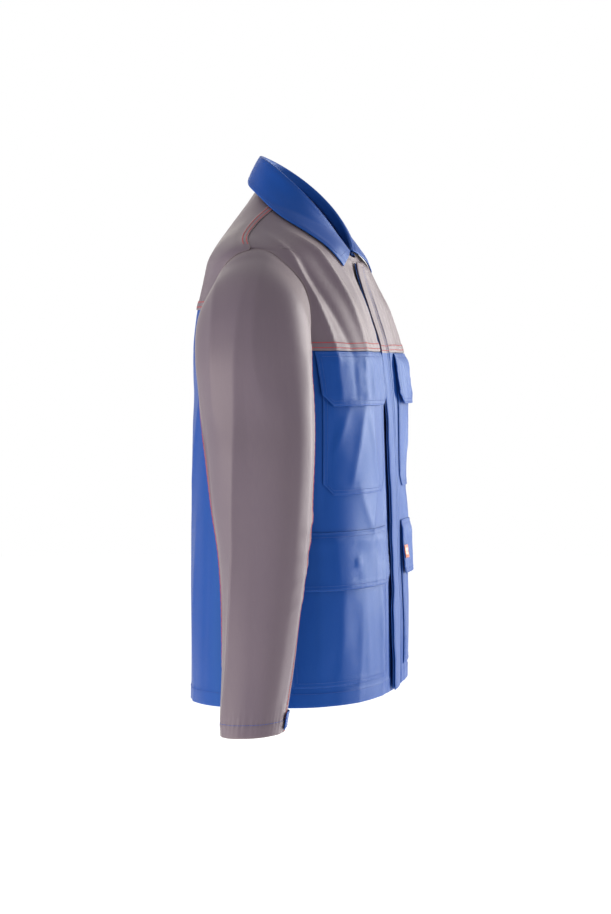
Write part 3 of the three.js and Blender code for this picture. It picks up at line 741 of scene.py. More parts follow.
def stitch(key, path, normals, sink=0.12):
    """Adds a row of stitches along a path of grid points."""
    path, normals = np.asarray(path), np.asarray(normals)
    arc = np.concatenate([[0], np.cumsum(np.linalg.norm(np.diff(path, axis=0), axis=1))])
    count = int(arc[-1] / STITCH_PITCH)
    if count < 1:
        return
    at = (np.arange(count) + 0.5) * arc[-1] / count

    def read(values, shift=0.0):
        return np.stack([np.interp(at + shift, arc, values[:, k]) for k in range(3)], 1)

    ahead, out = read(path, 0.6) - read(path, -0.6), unit(read(normals))
    stitch_rows.setdefault(key, []).append((read(path) + out * (0.22 - sink), unit(ahead), out))


def stitch_line(key, piece, row=None, column=None, start=0, stop=None):
    """A row of stitches along one grid row or column of a piece."""
    grid, out = pieces[piece]["outer"], pieces[piece]["normals"]
    take = (slice(start, stop), column) if row is None else (row, slice(start, stop))
    stitch(key, grid[take], out[take])


def stitch_round(key, piece, inset, sides="UDLR"):
    """A row of stitches round a piece, a fixed number of grid lines in from its edges."""
    grid, out = pieces[piece]["outer"], pieces[piece]["normals"]
    a, b = inset, -1 - inset
    run = slice(a, b)
    edge = {"D": (a, run), "U": (b, run), "L": (run, a), "R": (run, b)}
    for s in sides:
        stitch(key, grid[edge[s]], out[edge[s]])


# %% The setting-out tree
def set_out_tree():
    tree = bpy.data.node_groups.new("set_out_along_seams", "GeometryNodeTree")
    sockets = [("Geometry", "Geometry"), ("Pattern", "Object"), ("Finish", "Material")]
    sockets[2:2] = [(title, "Float") for title in ("Length", "Width", "Height")]
    for title, kind in sockets:
        tree.interface.new_socket(title, in_out="INPUT", socket_type="NodeSocket" + kind)
    tree.interface.new_socket("Geometry", in_out="OUTPUT", socket_type="NodeSocketGeometry")
    new, link = tree.nodes.new, tree.links.new
    given, out = new("NodeGroupInput"), new("NodeGroupOutput")
    pattern = new("GeometryNodeObjectInfo")
    link(given.outputs["Pattern"], pattern.inputs["Object"])
    along, outwards = new("GeometryNodeInputNamedAttribute"), new("GeometryNodeInputNamedAttribute")
    for node, name in ((along, "along"), (outwards, "outwards")):
        node.data_type = "FLOAT_VECTOR"
        node.inputs["Name"].default_value = name
    face = new("FunctionNodeAlignRotationToVector")
    face.axis = "Z"
    link(outwards.outputs["Attribute"], face.inputs["Vector"])
    turn = new("FunctionNodeAlignRotationToVector")
    turn.axis, turn.pivot_axis = "X", "Z"
    link(face.outputs[0], turn.inputs["Rotation"])
    link(along.outputs["Attribute"], turn.inputs["Vector"])
    size = new("ShaderNodeCombineXYZ")
    for k, name in enumerate(("Length", "Width", "Height")):
        link(given.outputs[name], size.inputs[k])
    instance = new("GeometryNodeInstanceOnPoints")
    link(given.outputs["Geometry"], instance.inputs["Points"])
    link(pattern.outputs["Geometry"], instance.inputs["Instance"])
    link(turn.outputs[0], instance.inputs["Rotation"])
    link(size.outputs[0], instance.inputs["Scale"])
    real, finish = new("GeometryNodeRealizeInstances"), new("GeometryNodeSetMaterial")
    link(instance.outputs[0], real.inputs[0])
    link(real.outputs[0], finish.inputs["Geometry"])
    link(given.outputs["Finish"], finish.inputs["Material"])
    link(finish.outputs[0], out.inputs[0])
    return tree


def smooth_object(name, points, faces):
    mesh = bpy.data.meshes.new(name)
    mesh.from_pydata(points, [], faces)
    mesh.polygons.foreach_set("use_smooth", np.ones(len(faces), bool))
    mesh.update()
    return bpy.data.objects.new(name, mesh)


def lathe(name, profile, sides=28):
    """A closed turned mesh about Z from (radius, height) pairs that start and end on the axis."""
    points, faces = [(0, 0, profile[0][1])], []
    turns = np.arange(sides) * 2 * math.pi / sides
    for radius, height in profile[1:-1]:
        points += [(radius * math.cos(a), radius * math.sin(a), height) for a in turns]
    points.append((0, 0, profile[-1][1]))
    last = 1 + (len(profile) - 3) * sides
    for k in range(sides):
        j = (k + 1) % sides
        faces.append((0, 1 + j, 1 + k))
        faces += [(low + k, low + j, low + sides + j, low + sides + k) for low in range(1, last, sides)]
        faces.append((last + k, last + j, len(points) - 1))
    return smooth_object(name, points, faces)


def bar_of_thread(name, sides=6):
    """One stitch of unit length, width and height, lying along X, higher in its middle."""
    stations = [(-0.5, 0.25, -0.3), (-0.36, 0.8, 0.0), (0.0, 1.0, 0.12), (0.36, 0.8, 0.0), (0.5, 0.25, -0.3)]
    points, faces = [], []
    for x, size, rise in stations:
        ring = np.arange(sides) * 2 * math.pi / sides
        points += [(x, 0.5 * size * math.cos(a), rise + 0.5 * size * math.sin(a)) for a in ring]
    last = (len(stations) - 1) * sides
    for low in range(0, last, sides):
        for k in range(sides):
            j = (k + 1) % sides
            faces.append((low + k, low + j, low + sides + j, low + sides + k))
    faces += [tuple(range(sides))[::-1], tuple(last + k for k in range(sides))]
    return smooth_object(name, points, [f[::-1] for f in faces])


setting_out = set_out_tree()


def set_out(name, rows, pattern, size, material):
    """Sets a pattern out on rows of (where, along, outwards) and returns one plain mesh."""
    where, along, outwards = (np.concatenate([row[k] for row in rows]) for k in range(3))
    mesh = bpy.data.meshes.new(name)
    mesh.from_pydata((where * MM).tolist(), [], [])
    for title, values in (("along", along), ("outwards", outwards)):
        attribute = mesh.attributes.new(title, "FLOAT_VECTOR", "POINT")
        attribute.data.foreach_set("vector", values.astype(np.float32).ravel())
    points = bpy.data.objects.new(name + "_points", mesh)
    modifier = points.modifiers.new("set_out", "NODES")
    modifier.node_group = setting_out
    sockets = {i.name: i.identifier for i in setting_out.interface.items_tree if i.in_out == "INPUT"}
    modifier[sockets["Pattern"]] = pattern
    modifier[sockets["Length"]], modifier[sockets["Width"]], modifier[sockets["Height"]] = size
    modifier[sockets["Finish"]] = material
    bpy.context.scene.collection.objects.link(points)
    bpy.context.view_layer.update()
    graph = bpy.context.evaluated_depsgraph_get()
    plain = bpy.data.meshes.new_from_object(points.evaluated_get(graph), depsgraph=graph)
    bpy.data.objects.remove(points)
    plain.name = name
    return add_object(name, plain)


# %% [markdown]
# ## Back and fronts
# The yoke laps over the panel below it and is sewn down with two rows of red thread, so its edge stands a cloth's
# thickness proud and the panel runs on a little way beneath. Beside the armhole a panel's rows end on the oval that
# the sleeve is set into.

# %% Levels of the body's rows
UNDERARM = ARMHOLE_Z - ARMHOLE_HEIGHT
SHOULDER_SEAM = -47
HEM_ROWS = [0.0, 0.7, 1.8, 4, 9, 14, 17, 18.6, 20.2, 23]
HEM_STITCH, HEM_FOLD = 7, HEM_Z + 19
UNDER_YOKE = [-10.5, -8.2, -6.4, -3.6, -1.8, -0.4, 1.5, 5.0]


def beside_armhole(v):
    """1 at levels where the row ends at the armhole, and 0 where it ends at a seam."""
    return smoothstep(UNDERARM - 3, UNDERARM + 5, v) * smoothstep(-44, -50, v)


def armhole_levels(low, high, count):
    """Levels that step evenly round the armhole's oval instead of evenly in height."""
    a, b = (math.asin(max(-1, min(1, (z - ARMHOLE_Z) / ARMHOLE_HEIGHT))) for z in (low, high))
    return ARMHOLE_Z + ARMHOLE_HEIGHT * np.sin(np.linspace(a, b, count))


def panel_levels(yoke_z, count):
    """A panel's rows, from its hem to the part that runs on beneath the yoke."""
    below = np.concatenate([HEM_Z + np.array(HEM_ROWS), np.linspace(HEM_Z + 27, UNDERARM - 2, 82)])
    return np.concatenate([below, armhole_levels(UNDERARM + 0.1, yoke_z - 14, count), yoke_z + np.array(UNDER_YOKE)])


def yoke_levels(yoke_z, count):
    """A yoke's rows, from its lower edge to the neckline."""
    edge, beside = yoke_z + np.array([0.0, *EDGE]), armhole_levels(yoke_z + 14, -49.1, count)
    return np.concatenate([edge, beside, np.linspace(SHOULDER_SEAM, NECK_LEVEL - 2, 19), [NECK_LEVEL]])


front_levels, back_levels = panel_levels(YOKE_FRONT_Z, 15), panel_levels(YOKE_BACK_Z, 24)
front_yoke_levels, back_yoke_levels = yoke_levels(YOKE_FRONT_Z, 34), yoke_levels(YOKE_BACK_Z, 22)


def add_edges(height, s, v, yoke_z, is_yoke, seeds):
    """Adds a yoke's lap, or a panel's hem and the step beneath the yoke, with the puckers beside them."""
    if is_yoke:
        return height + 1.2 * smoothstep(13, 9, v - yoke_z) + pucker(s, v - yoke_z, seeds[0])
    above = smoothstep(yoke_z - 3, yoke_z, v)
    height = height - 0.3 - 0.25 * above + 0.5 * smoothstep(21, 18, v - HEM_Z)
    return height + pucker(s, np.abs(v - HEM_FOLD), seeds[1], 0.4)


# %% Fronts
def front_grid(side_sign, s, v):
    """Points and normals of one front at distances s from the centre front, at levels v."""
    u = np.sign(s) * front_tape.angle(np.abs(s), v)
    points, out = body(u, v), normal(body, u, v)
    flip = np.array([side_sign, 1, 1])
    return points * flip, out * flip


def front_piece(name, side_name, levels, start, materials, replaced):
    sign = SIDES[side_name]
    is_yoke = materials[0] == grey_cloth
    seam = front_tape.distance(armhole_angle(levels, True), levels)
    end = seam + TUCK * (1 - beside_armhole(levels))
    s = start + spread(end - start, 5.2)
    v = np.repeat(levels[:, None], s.shape[1], 1)
    points, out = front_grid(sign, s, v)
    height = add_edges(front_drape(s, v, sign), s, v, YOKE_FRONT_Z, is_yoke, (5 + sign, 8 + sign))
    if not is_yoke:
        height = height + pucker(s, YOKE_FRONT_Z - v, 9 + sign, 0.3)
    height = height - 1.6 * smoothstep(-2, 2, s - seam[:, None]) * (1 - beside_armhole(v))
    sew_piece(name, points, out, height, np.stack([s * sign, v], -1), materials, [replaced])


BLUE, GREY = [blue_cloth, blue_shaded_inside], [grey_cloth, grey_shaded_inside]
UNDERLAP, FLY_STITCH, FLY_EDGE = 20.0, 22.0, -30.0
for side_name, sign in SIDES.items():
    start = -UNDERLAP if side_name == "right" else FLY_STITCH
    front_piece(f"{side_name}_front", side_name, front_levels, start, BLUE, f"{side_name}_front_panel")
    front_piece(f"{side_name}_yoke", side_name, front_yoke_levels, start, GREY, f"{side_name}_front_yoke")
    for row in WIDE_ROWS:
        stitch_line("jacket_body red", f"{side_name}_yoke", row=row, start=2, stop=-1)
    stitch_line("jacket_body blue", f"{side_name}_front", row=HEM_STITCH, start=2, stop=-2)


# %% Back
def back_piece(name, levels, materials, replaced):
    seam = back_tape.distance(armhole_angle(levels, False), levels)
    s = spread(seam, 5.4, (), EDGE)
    s = np.concatenate([-s[:, :0:-1], s], axis=1)
    v = np.repeat(levels[:, None], s.shape[1], 1)
    u = 180 - np.sign(s) * (180 - back_tape.angle(np.abs(s), v))
    to_seam = seam[:, None] - np.abs(s)
    height = back_drape(s, v) + 1.1 * smoothstep(12, 9, to_seam) * (1 - beside_armhole(v))
    height = add_edges(height, s, v, YOKE_BACK_Z, materials[0] == grey_cloth, (25, 28))
    sew_piece(name, body(u, v), normal(body, u, v), height, np.stack([s, v], -1), materials, [replaced])


back_piece("back", back_levels, BLUE, "back_panel")
back_piece("back_yoke_cloth", back_yoke_levels, GREY, "back_yoke")
for row in WIDE_ROWS:
    stitch_line("jacket_body red", "back_yoke_cloth", row=row, start=2, stop=-2)
stitch_line("jacket_body blue", "back", row=HEM_STITCH, start=2, stop=-2)
shoulder_start = int(np.argmax(back_yoke_levels > SHOULDER_SEAM))
under_arm = int(np.argmax(back_levels > UNDERARM - 5))
for inset, wide in zip((FIRST_ROW, SECOND_ROW), (2, 5)):
    for column in (wide, -1 - wide):
        stitch_line("jacket_body red", "back_yoke_cloth", column=column, start=shoulder_start)
    for column in (inset, -1 - inset):
        stitch_line("jacket_body blue", "back", column=column, start=2, stop=under_arm)
print("body pieces:", ", ".join(pieces))


# %% [markdown]
# ## Fly
# The fly is a strip folded double that hides the press studs. It is sewn down the wearer's left front and free along
# its other edge, where it stands off the right front a little, most of all over the chest. Its inner layer is blue
# and shows as a thin line past the edge. In the frame it turns about its seam.


# %% Fly strips
def fly_lift(s, v):
    free = np.clip((24 - s) / 54, 0, 1.1) ** 2
    gape = 0.9 + 0.8 * smoothstep(-215, -150, v) * smoothstep(-52, -80, v) + 0.9 * np.sin(v / 37) ** 2
    return free * gape


def fly_strip(name, low, high, s_range, raised, thick, materials, replaced=(), pad=0.0):
    levels = low + spread(np.array([high - low]), 5.0)[0]
    s = s_range[0] + spread(np.full(len(levels), s_range[1] - s_range[0]), 3.6)
    v = np.repeat(levels[:, None], s.shape[1], 1)
    points, out = front_grid(1, s, v)
    ground = front_hollow(s, v) + (front_drape(np.abs(s), v, 1) - front_hollow(s, v)) * smoothstep(0, 20, s)
    settle = smoothstep(31, 15, s)
    height = ground + settle * raised + fly_lift(s, v) + thick + 0.15
    height = height + pad * smoothstep(9, 7, s - s_range[0]) + 0.35 * waves(s, v, 51, 60, 90, 1.0) * settle
    sew_piece(name, points, out, height, np.stack([s, v], -1), materials, replaced, thick)


FLY_TOP, FLY_SEAM = -60.0, YOKE_FRONT_Z
OVER, UNDER = (FLY_EDGE, 38), (FLY_EDGE - 3.4, -14)
fly_strip("fly_lower_cloth", HEM_Z + 1.5, FLY_SEAM - 0.2, OVER, 2.9, 1.7, BLUE, ["fly_lower"], 0.4)
fly_strip("fly_upper_cloth", FLY_SEAM - 0.9, FLY_TOP, OVER, 3.1, 1.7, [grey_cloth, blue_shaded_inside], ["fly_upper"], 0.4)
fly_strip("fly_lower_facing", HEM_Z + 4, FLY_SEAM - 2, UNDER, 1.3, 0.9, BLUE)
fly_strip("fly_upper_facing", FLY_SEAM + 1, FLY_TOP - 1, UNDER, 1.3, 0.9, BLUE)
for part in ("lower", "upper"):
    for column in (-1 - FIRST_ROW, -1 - SECOND_ROW):
        stitch_line(f"fly_{part} blue", f"fly_{part}_cloth", column=column, start=1, stop=-1)
    stitch_line(f"fly_{part} blue", f"fly_{part}_cloth", column=SECOND_ROW, start=1, stop=-1)
fly_upper_levels = pieces["fly_upper_cloth"]["outer"][:, 4, 2]
for row in WIDE_ROWS:
    nearest = int(np.argmin(np.abs(fly_upper_levels - front_yoke_levels[row])))
    stitch_line("fly_upper red", "fly_upper_cloth", row=nearest, start=1, stop=-1)

# %% [markdown]
# ## Pockets and flaps
# A pocket is a patch with its edges folded under and two rows of stitches, and its mouth is hidden by a flap. The
# flap is sewn along its top edge and free elsewhere. Its lower corners are cut off, and its doubled edge is stiffer
# than its middle, so the middle puckers. In the frame each flap turns about its top edge.

# %% Patches
CHEST_POCKET = dict(near=57, far=222, top=-198, bottom=-387, cut=16)
CHEST_FLAP = dict(near=54, far=223, top=-190, bottom=-264, cut=15)
LOWER_POCKET = dict(near=60, far=268, top=-450, bottom=-654, cut=0)
LOWER_FLAP = dict(near=57, far=268, top=-438.5, bottom=-519, cut=12)
FLAP_RAISE = 2.4
CHEST_POCKET_FOLDS = [
    ((132, -268), (92, -370), 13, 2.6, 0),
    ((140, -262), (172, -376), 12, 2.4, 0),
    ((112, -262), (110, -330), 8, 1.4, 0),
    ((176, -268), (206, -330), 9, 1.6, 0),
]
CHEST_FLAP_FOLDS = [
    ((74, -194), (70, -258), 5, 1.8, 0),
    ((92, -196), (88, -262), 5, 2.2, 0),
    ((112, -198), (116, -262), 6, 2.0, 0),
    ((134, -196), (140, -262), 7, 2.6, 0),
    ((162, -200), (164, -262), 8, -1.4, 0),
    ((196, -196), (194, -262), 9, 1.6, 0),
]
LOWER_FLAP_FOLDS = [
    ((84, -446), (80, -516), 8, 2.0, 0),
    ((110, -450), (114, -516), 9, 1.2, 0),
    ((164, -452), (168, -516), 12, -1.0, 0),
    ((206, -446), (200, -516), 12, 1.5, 0),
    ((242, -446), (244, -516), 9, 1.2, 0),
]
LOWER_POCKET_FOLDS = [
    ((92, -520), (86, -650), 12, 2.4, 0),
    ((140, -530), (132, -650), 18, 1.6, 0),
    ((190, -530), (200, -650), 18, 1.8, 0),
    ((235, -530), (230, -650), 14, 1.4, 0),
]


def patch(
    name, side_name, near, far, top, bottom, cut, step, raise_of, folds, seed, replaced,
    thick=1.4, materials=BLUE, flare=0.0, stud_drop=0,
):
    """A patch between two distances from the centre front, its lower corners cut off at 45 degrees."""
    sign = SIDES[side_name]
    width, tall = far - near, top - bottom
    x = spread(np.array([width]), step)[0]
    if cut:
        x = np.unique(np.concatenate([x, [cut, width - cut, cut + 0.8, width - cut - 0.8]]))
    foot = np.maximum(0, cut - np.minimum(x, width - x))
    y = spread(tall - foot, step).T
    v = bottom + foot[None, :] + y
    s = near + x[None, :] * (1 + flare * (v - bottom) / tall)
    points, out = front_grid(sign, s, v)
    height = front_drape(s, v, sign) + raise_of(s - near, top - v)
    if stud_drop and sign > 0:
        height = height + 3.2 * smoothstep(0, 60, s - near) * smoothstep(0, 24, top - v)
    own = 0.25 * waves(s, v, seed, 60, 80, 1.0)
    for start, end, fold_width, fold_height, bend in folds:
        drift = 0 if sign < 0 else 6
        own = own + ridge(s + drift, v, start, end, fold_width, fold_height, bend)
    if stud_drop:
        from_stud = np.hypot(s - (near + far) / 2, v - top + stud_drop)
        imprint = 0.5 * np.exp(-(((from_stud - 5.5) / 1.6) ** 2)) + 0.9 * smoothstep(9, 5, from_stud)
        own = own * smoothstep(4, 24, from_stud) + imprint
    x = x[None, :] + 0 * v
    inset = np.minimum(np.minimum(x, width - x), v - bottom - foot[None, :])
    own = own * smoothstep(0, 16, inset) * smoothstep(0, 12, top - v)
    own = own + 0.45 * smoothstep(10, 7.6, inset) - 0.16 * np.exp(-(((inset - 6.4) / 1.3) ** 2))
    own = own + pucker(v, np.minimum(x, width - x), seed + 1, 0.28) + pucker(s, v - bottom, seed + 2, 0.28)
    sew_piece(name, points, out, height + own, np.stack([s * sign, v], -1), materials, replaced, thick)


def pocket_raise(_, down):
    return 0.9 + 0.4 * smoothstep(60, 0, down)


def flap_raise(far_corner):
    def raised(across, down):
        """Sewn flat at the top, standing off below, most at the lower corners."""
        corner = np.minimum(across, far_corner - across)
        curl = 0.8 * smoothstep(26, 0, corner) * smoothstep(20, 70, down)
        return 1.5 + FLAP_RAISE * smoothstep(-1, 16, down) + 1.6 * smoothstep(25, 75, down) + curl

    return raised


CHEST = ("chest", CHEST_POCKET, CHEST_FLAP, CHEST_POCKET_FOLDS, CHEST_FLAP_FOLDS, 60, 0.03, 40)
LOWER = ("lower", LOWER_POCKET, LOWER_FLAP, LOWER_POCKET_FOLDS, LOWER_FLAP_FOLDS, 70, 0.0, 44)
for side_name, sign in SIDES.items():
    for place, pocket, flap, pocket_folds, flap_folds, seed, flare, stud_drop in (CHEST, LOWER):
        node = f"{side_name}_{place}"
        patch(
            f"{node}_patch", side_name, **pocket, step=4.6, raise_of=pocket_raise, folds=pocket_folds,
            seed=seed + sign, replaced=[f"{node}_pocket"], thick=1.0,
        )
        patch(
            f"{node}_flap_cloth", side_name, **flap, step=3.8, raise_of=flap_raise(flap["far"] - flap["near"]),
            folds=flap_folds, seed=seed + 4 + sign, replaced=[f"{node}_flap"], thick=1.7, flare=flare,
            stud_drop=stud_drop,
        )
        for inset in (FIRST_ROW, SECOND_ROW):
            stitch_round("jacket_body blue", f"{node}_patch", inset, "DLR")
            stitch_round(f"{node}_flap blue", f"{node}_flap_cloth", inset, "DLRU")
print("pockets and flaps:", len(pieces), "pieces so far")

# %% [markdown]
# ## Tag
# A small folded tag is caught in the front edge of the left lower flap. It is plain: an orange cloth with a paler
# middle, and no mark.

# %% The tag
tag_cloth = cloth_material("tag_cloth", (0.78, 0.16, 0.06), (0.9, 0.45, 0.3), 0.2, 0.2, 0.0, pitch=0.0006)
tag_tree = tag_cloth.node_tree
tag_place = tag_tree.nodes.new("ShaderNodeTexCoord")
tag_axes = tag_tree.nodes.new("ShaderNodeSeparateXYZ")
tag_tree.links.new(tag_place.outputs["UV"], tag_axes.inputs[0])
TAG = dict(near=58.5, far=71.5, top=-476, bottom=-495, cut=0)
PALE_HALF_WIDTH, PALE_HALF_HEIGHT = 0.0042, 0.0052
middles = (TAG["near"] + TAG["far"]) / 2 * MM, (TAG["top"] + TAG["bottom"]) / 2 * MM
inside = []
for k, (centre, reach) in enumerate(zip(middles, (PALE_HALF_WIDTH, PALE_HALF_HEIGHT))):
    away = math_node(tag_tree, "ABSOLUTE", math_node(tag_tree, "SUBTRACT", tag_axes.outputs[k], centre))
    inside.append(math_node(tag_tree, "LESS_THAN", away, reach))
pale = math_node(tag_tree, "MULTIPLY", *inside)
tag_group = next(n for n in tag_tree.nodes if n.type == "GROUP")
tag_shader = tag_tree.nodes["Principled BSDF"]
pale_mix = mix_colour(tag_tree, pale, tag_group.outputs["Colour"], (0.85, 0.62, 0.48))
tag_tree.links.new(pale_mix, tag_shader.inputs["Base Color"])


def tag_raise(across, down):
    on_flap = flap_raise(LOWER_FLAP["far"] - LOWER_FLAP["near"])(across + 1.5, down + 37.5)
    return on_flap + 1.3 + 0.6 * smoothstep(4, 16, down) + 0.22 * across


patch(
    "tag_cloth_piece", "left", **TAG, step=2.0, raise_of=tag_raise, folds=[], seed=90, replaced=["flap_tag"],
    thick=0.8, materials=[tag_cloth, tag_cloth],
)

# %% [markdown]
# ## Collar
# The collar stands up from the neckline and turns down over itself. It is stiffened, so it keeps a smooth roll, and
# its edge carries one row of stitches. The leaf below is swept round the neck: up the outside from its free edge,
# over a rounded fold, and a little way down the inside, where it meets the stand.


# %% Collar curves
def neck_ring(u, width, front_y, side_y, back_y, heights):
    depth = np.where(np.cos(np.radians(u)) > 0, side_y - front_y, back_y - side_y)
    r = ring_radius(width, depth, 2, u)
    return np.stack([r * np.sin(np.radians(u)), side_y - r * np.cos(np.radians(u)), ring_height(*heights, u)], -1)


FOLD_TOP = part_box("collar_leaf")[1][2] / MM - 3
COLLAR_END, LEAF_END = 15.0, 44.0
leaf_level = smooth_curve([LEAF_END, 50, 58, 70, 90, 130], [-69, -47, -23, -9, 3, 20])


def neckline(u):
    return neck_ring(u, 78, -79, 8, 66, [-48.8, 27.2, 51.2])


def collar_fold(u):
    return neck_ring(u, 77, -75, -10, 62, [-44, 47, FOLD_TOP])


def leaf_edge(u):
    turn = np.minimum(u, 360 - u)
    level = leaf_level(turn)
    lying = body(u, level) + normal(body, u, level) * 2.2
    standing = neck_ring(u, 104, -60, 8, 76, [20, 27, 69])
    t = smoothstep(80, 140, turn)[..., None]
    return lying * (1 - t) + standing * t


# %% Collar pieces
ends = [[0, 0.0022, 0.006, 0.012, 0.021, 0.03], [0.97, 0.979, 0.988, 0.994, 0.9978, 1]]
share = np.concatenate([ends[0], np.linspace(0.04, 0.96, 110), ends[1]])
fold_angle = COLLAR_END + share * (360 - 2 * COLLAR_END)
edge_angle = LEAF_END + share * (360 - 2 * LEAF_END)
fold_line, edge_line = collar_fold(fold_angle), leaf_edge(edge_angle)


def outward(u):
    return np.stack([np.sin(np.radians(u)), -np.cos(np.radians(u)), 0 * u], -1)


def mean_arc(grid):
    """How far each row is along the cloth from the first, on average."""
    return np.cumsum(np.linalg.norm(np.diff(grid, axis=0, prepend=grid[:1]), axis=2).mean(1))


radial = outward(fold_angle)
FOLD_R, LEAF_ROUND, STAND_ROUND = 2.3, 430, 400
UP = np.array([0, 0, 1])
rows, swell = [], (1.2 + 3.6 * smoothstep(140, 80, np.minimum(edge_angle, 360 - edge_angle)))[:, None]
for t in np.concatenate([[0.0, 0.015, 0.036, 0.075, 0.13, 0.17], np.linspace(0.22, 0.93, 16), [0.965]]):
    roll = math.sin(math.pi * min(1, t * 0.94)) ** 0.8 * swell
    rows.append(edge_line * (1 - t) + fold_line * t + roll * (radial + UP * 0.7))
for turn in np.radians([0, 30, 60, 90, 120, 150, 180]):
    rows.append(fold_line - radial * FOLD_R * (1 - math.cos(turn)) + UP * FOLD_R * math.sin(turn))
down = unit(neckline(fold_angle) - fold_line)
rows += [fold_line - radial * FOLD_R * 2 + down * drop for drop in (4, 8, 12)]
leaf = np.stack(rows)
leaf_out = across_grid(leaf)
leaf_out = leaf_out * np.sign((leaf_out[5] * unit(radial + UP * 0.3)).sum(-1).mean())
arc = mean_arc(leaf)
round_neck, up_leaf = np.broadcast_arrays(share[None, :] * LEAF_ROUND, arc[:, None])
uv = np.stack([round_neck, up_leaf], -1)
soft = 0.5 * waves(round_neck, up_leaf, 101, 90, 60, 1.0) * smoothstep(0, 12, up_leaf)
soft = soft + 0.4 * smoothstep(8.5, 6.5, up_leaf)
dents = [ridge(round_neck, up_leaf, (a, 40), (b, 2), 12, 1) for a, b in ((38, 92), (392, 338))]
soft = soft - 1.6 * (dents[0] + dents[1])
soft = soft * smoothstep(arc[-10], arc[-14], up_leaf)
leaf = leaf + leaf_out * (soft + 0.8)[..., None]
keep_piece("collar_leaf_cloth", leaf, leaf_out, 1.5, uv, BLUE, ["collar_leaf"], 1.4)
stand_angle = COLLAR_END + 1 + share * (358 - 2 * COLLAR_END)
stand_radial = outward(stand_angle)
heights = np.concatenate([[-0.10, -0.06, -0.02], np.linspace(0.03, 0.82, 14), [0.84, 0.85]])


def stand_row(t):
    lean = 2.2 * math.sin(math.pi * min(max(t, 0), 1)) + 0.6
    return neckline(stand_angle) * (1 - t) + collar_fold(stand_angle) * t - stand_radial * lean


stand = np.stack([stand_row(t) for t in heights])
stand_out = across_grid(stand)
stand_out = stand_out * np.sign((stand_out * stand_radial).sum(-1).mean())
stand_uv = np.stack(np.broadcast_arrays(share[None, :] * STAND_ROUND, mean_arc(stand)[:, None]), -1)
keep_piece("collar_stand_cloth", stand, stand_out, 1.2, stand_uv, BLUE, ["collar_stand"], 1.4)
stitch_round("jacket_body blue", "collar_leaf_cloth", 3, "D")
for column in (3, -4):
    stitch_line("jacket_body blue", "collar_leaf_cloth", column=column, start=3, stop=22)
print("collar:", len(share), "stations round the neck")

# %% [markdown]
# ## Sleeves
# A sleeve is two pieces, a top and an under sleeve, with a red twin seam down the front and the back of the arm. Its
# head fills the armhole, hangs almost straight, and is a little curved forwards as an arm is. Behind the outer line
# runs one long pressed crease. In the frame the sleeve turns about the shoulder point.

# %% The sleeve's surface, for the wearer's left
CUFF_Z = -695.0
UNDERARM_X, UNDERARM_Z = 226.0, ARMHOLE_Z - ARMHOLE_HEIGHT
# the head's sections turn about the underarm: degrees, reach, middle's depth and half depth
FAN = [(25, 168, 1, 79), (50, 143, -3, 79.5), (75, 127, -7, 79)]
# the arm's sections: middle (x, y, z), half width and half depth
ARM = [
    (287, -10, -263, 60, 78),
    (296, -17, -334, 58, 74),
    (301, -21, -400, 56, 68.5),
    (305, -24, -467, 54, 60),
    (308, -22.5, -534, 52, 53),
    (311, -19.5, -600, 50, 48),
    (316, -11, CUFF_Z, 48, 41.5),
]
SLEEVE_LEVELS = [0, 55, 95, 130] + [155 + ARM[0][2] - a[2] for a in ARM]
SLEEVE_END = SLEEVE_LEVELS[-1]
FLATNESS = 0.72


def armhole_ring(a, grow=0.0, sink=1.1):
    """The armhole's oval on the form at angle a round it, made larger by grow, and sunk below the cloth."""
    s, c = np.sin(np.radians(a)), np.cos(np.radians(a))
    up = np.where((c > 0) & (s < 0), -np.abs(s) ** (2 / 3), s)
    reach = armhole_reach(up, True) * (c > 0) - armhole_reach(up, False) * (c <= 0)
    y = ARMHOLE_Y - reach * (1 + (grow - 0.4) / ARMHOLE_DEPTH)
    z = ARMHOLE_Z + (ARMHOLE_HEIGHT - 0.4 + grow) * up
    v = z.copy()
    for _ in range(4):
        u = angle_at(y, v, 20, 160)
        v = np.clip(v + z - body(u, v)[..., 2], -400, 10)
    return body(u, v) - normal(body, u, v) * sink


RING_ANGLES = np.linspace(-60, 420, 961)
ARMHOLE_RING = armhole_ring(RING_ANGLES)


def sleeve(a, w):
    """The sleeve's surface: a runs round from the front over the outer side, and w runs down from the armhole."""
    a, w = np.broadcast_arrays(np.asarray(a, float), np.asarray(w, float))
    s, c = np.sin(np.radians(a)), np.cos(np.radians(a))
    sections = [np.stack([np.interp(a, RING_ANGLES, ARMHOLE_RING[:, k]) for k in range(3)], -1)]
    pressed = (s > 0) & (c > 0)
    for turn, reach, y, depth in FAN:
        along = reach / 2 * (1 + s)
        t = math.radians(turn)
        x, z = UNDERARM_X + along * math.sin(t), UNDERARM_Z + along * math.cos(t)
        sections.append(np.stack([x, y - depth * c, z], -1))
    s, c = np.where(pressed, np.abs(s) ** FLATNESS, s), np.where(pressed, np.abs(c) ** FLATNESS, c)
    for x, y, z, width, depth in ARM:
        sections.append(np.stack([x + width * s, y - depth * c, z + 0 * s], -1))
    sections = np.stack(sections)
    at = np.array(SLEEVE_LEVELS, float)
    stacks = sections, gentle_slopes(at, sections)
    i = np.clip(np.searchsorted(at[1:], w), 0, len(at) - 2)
    h = (at[i + 1] - at[i])[..., None]
    t = np.clip((w - at[i])[..., None] / h, 0, 1)
    near = (np.take_along_axis(stack, k[None, ..., None], 0)[0] for stack in stacks for k in (i, i + 1))
    return curve_between(t, h, *near)


def sleeve_up(a, level):
    return sleeve(a, -np.asarray(level, float))


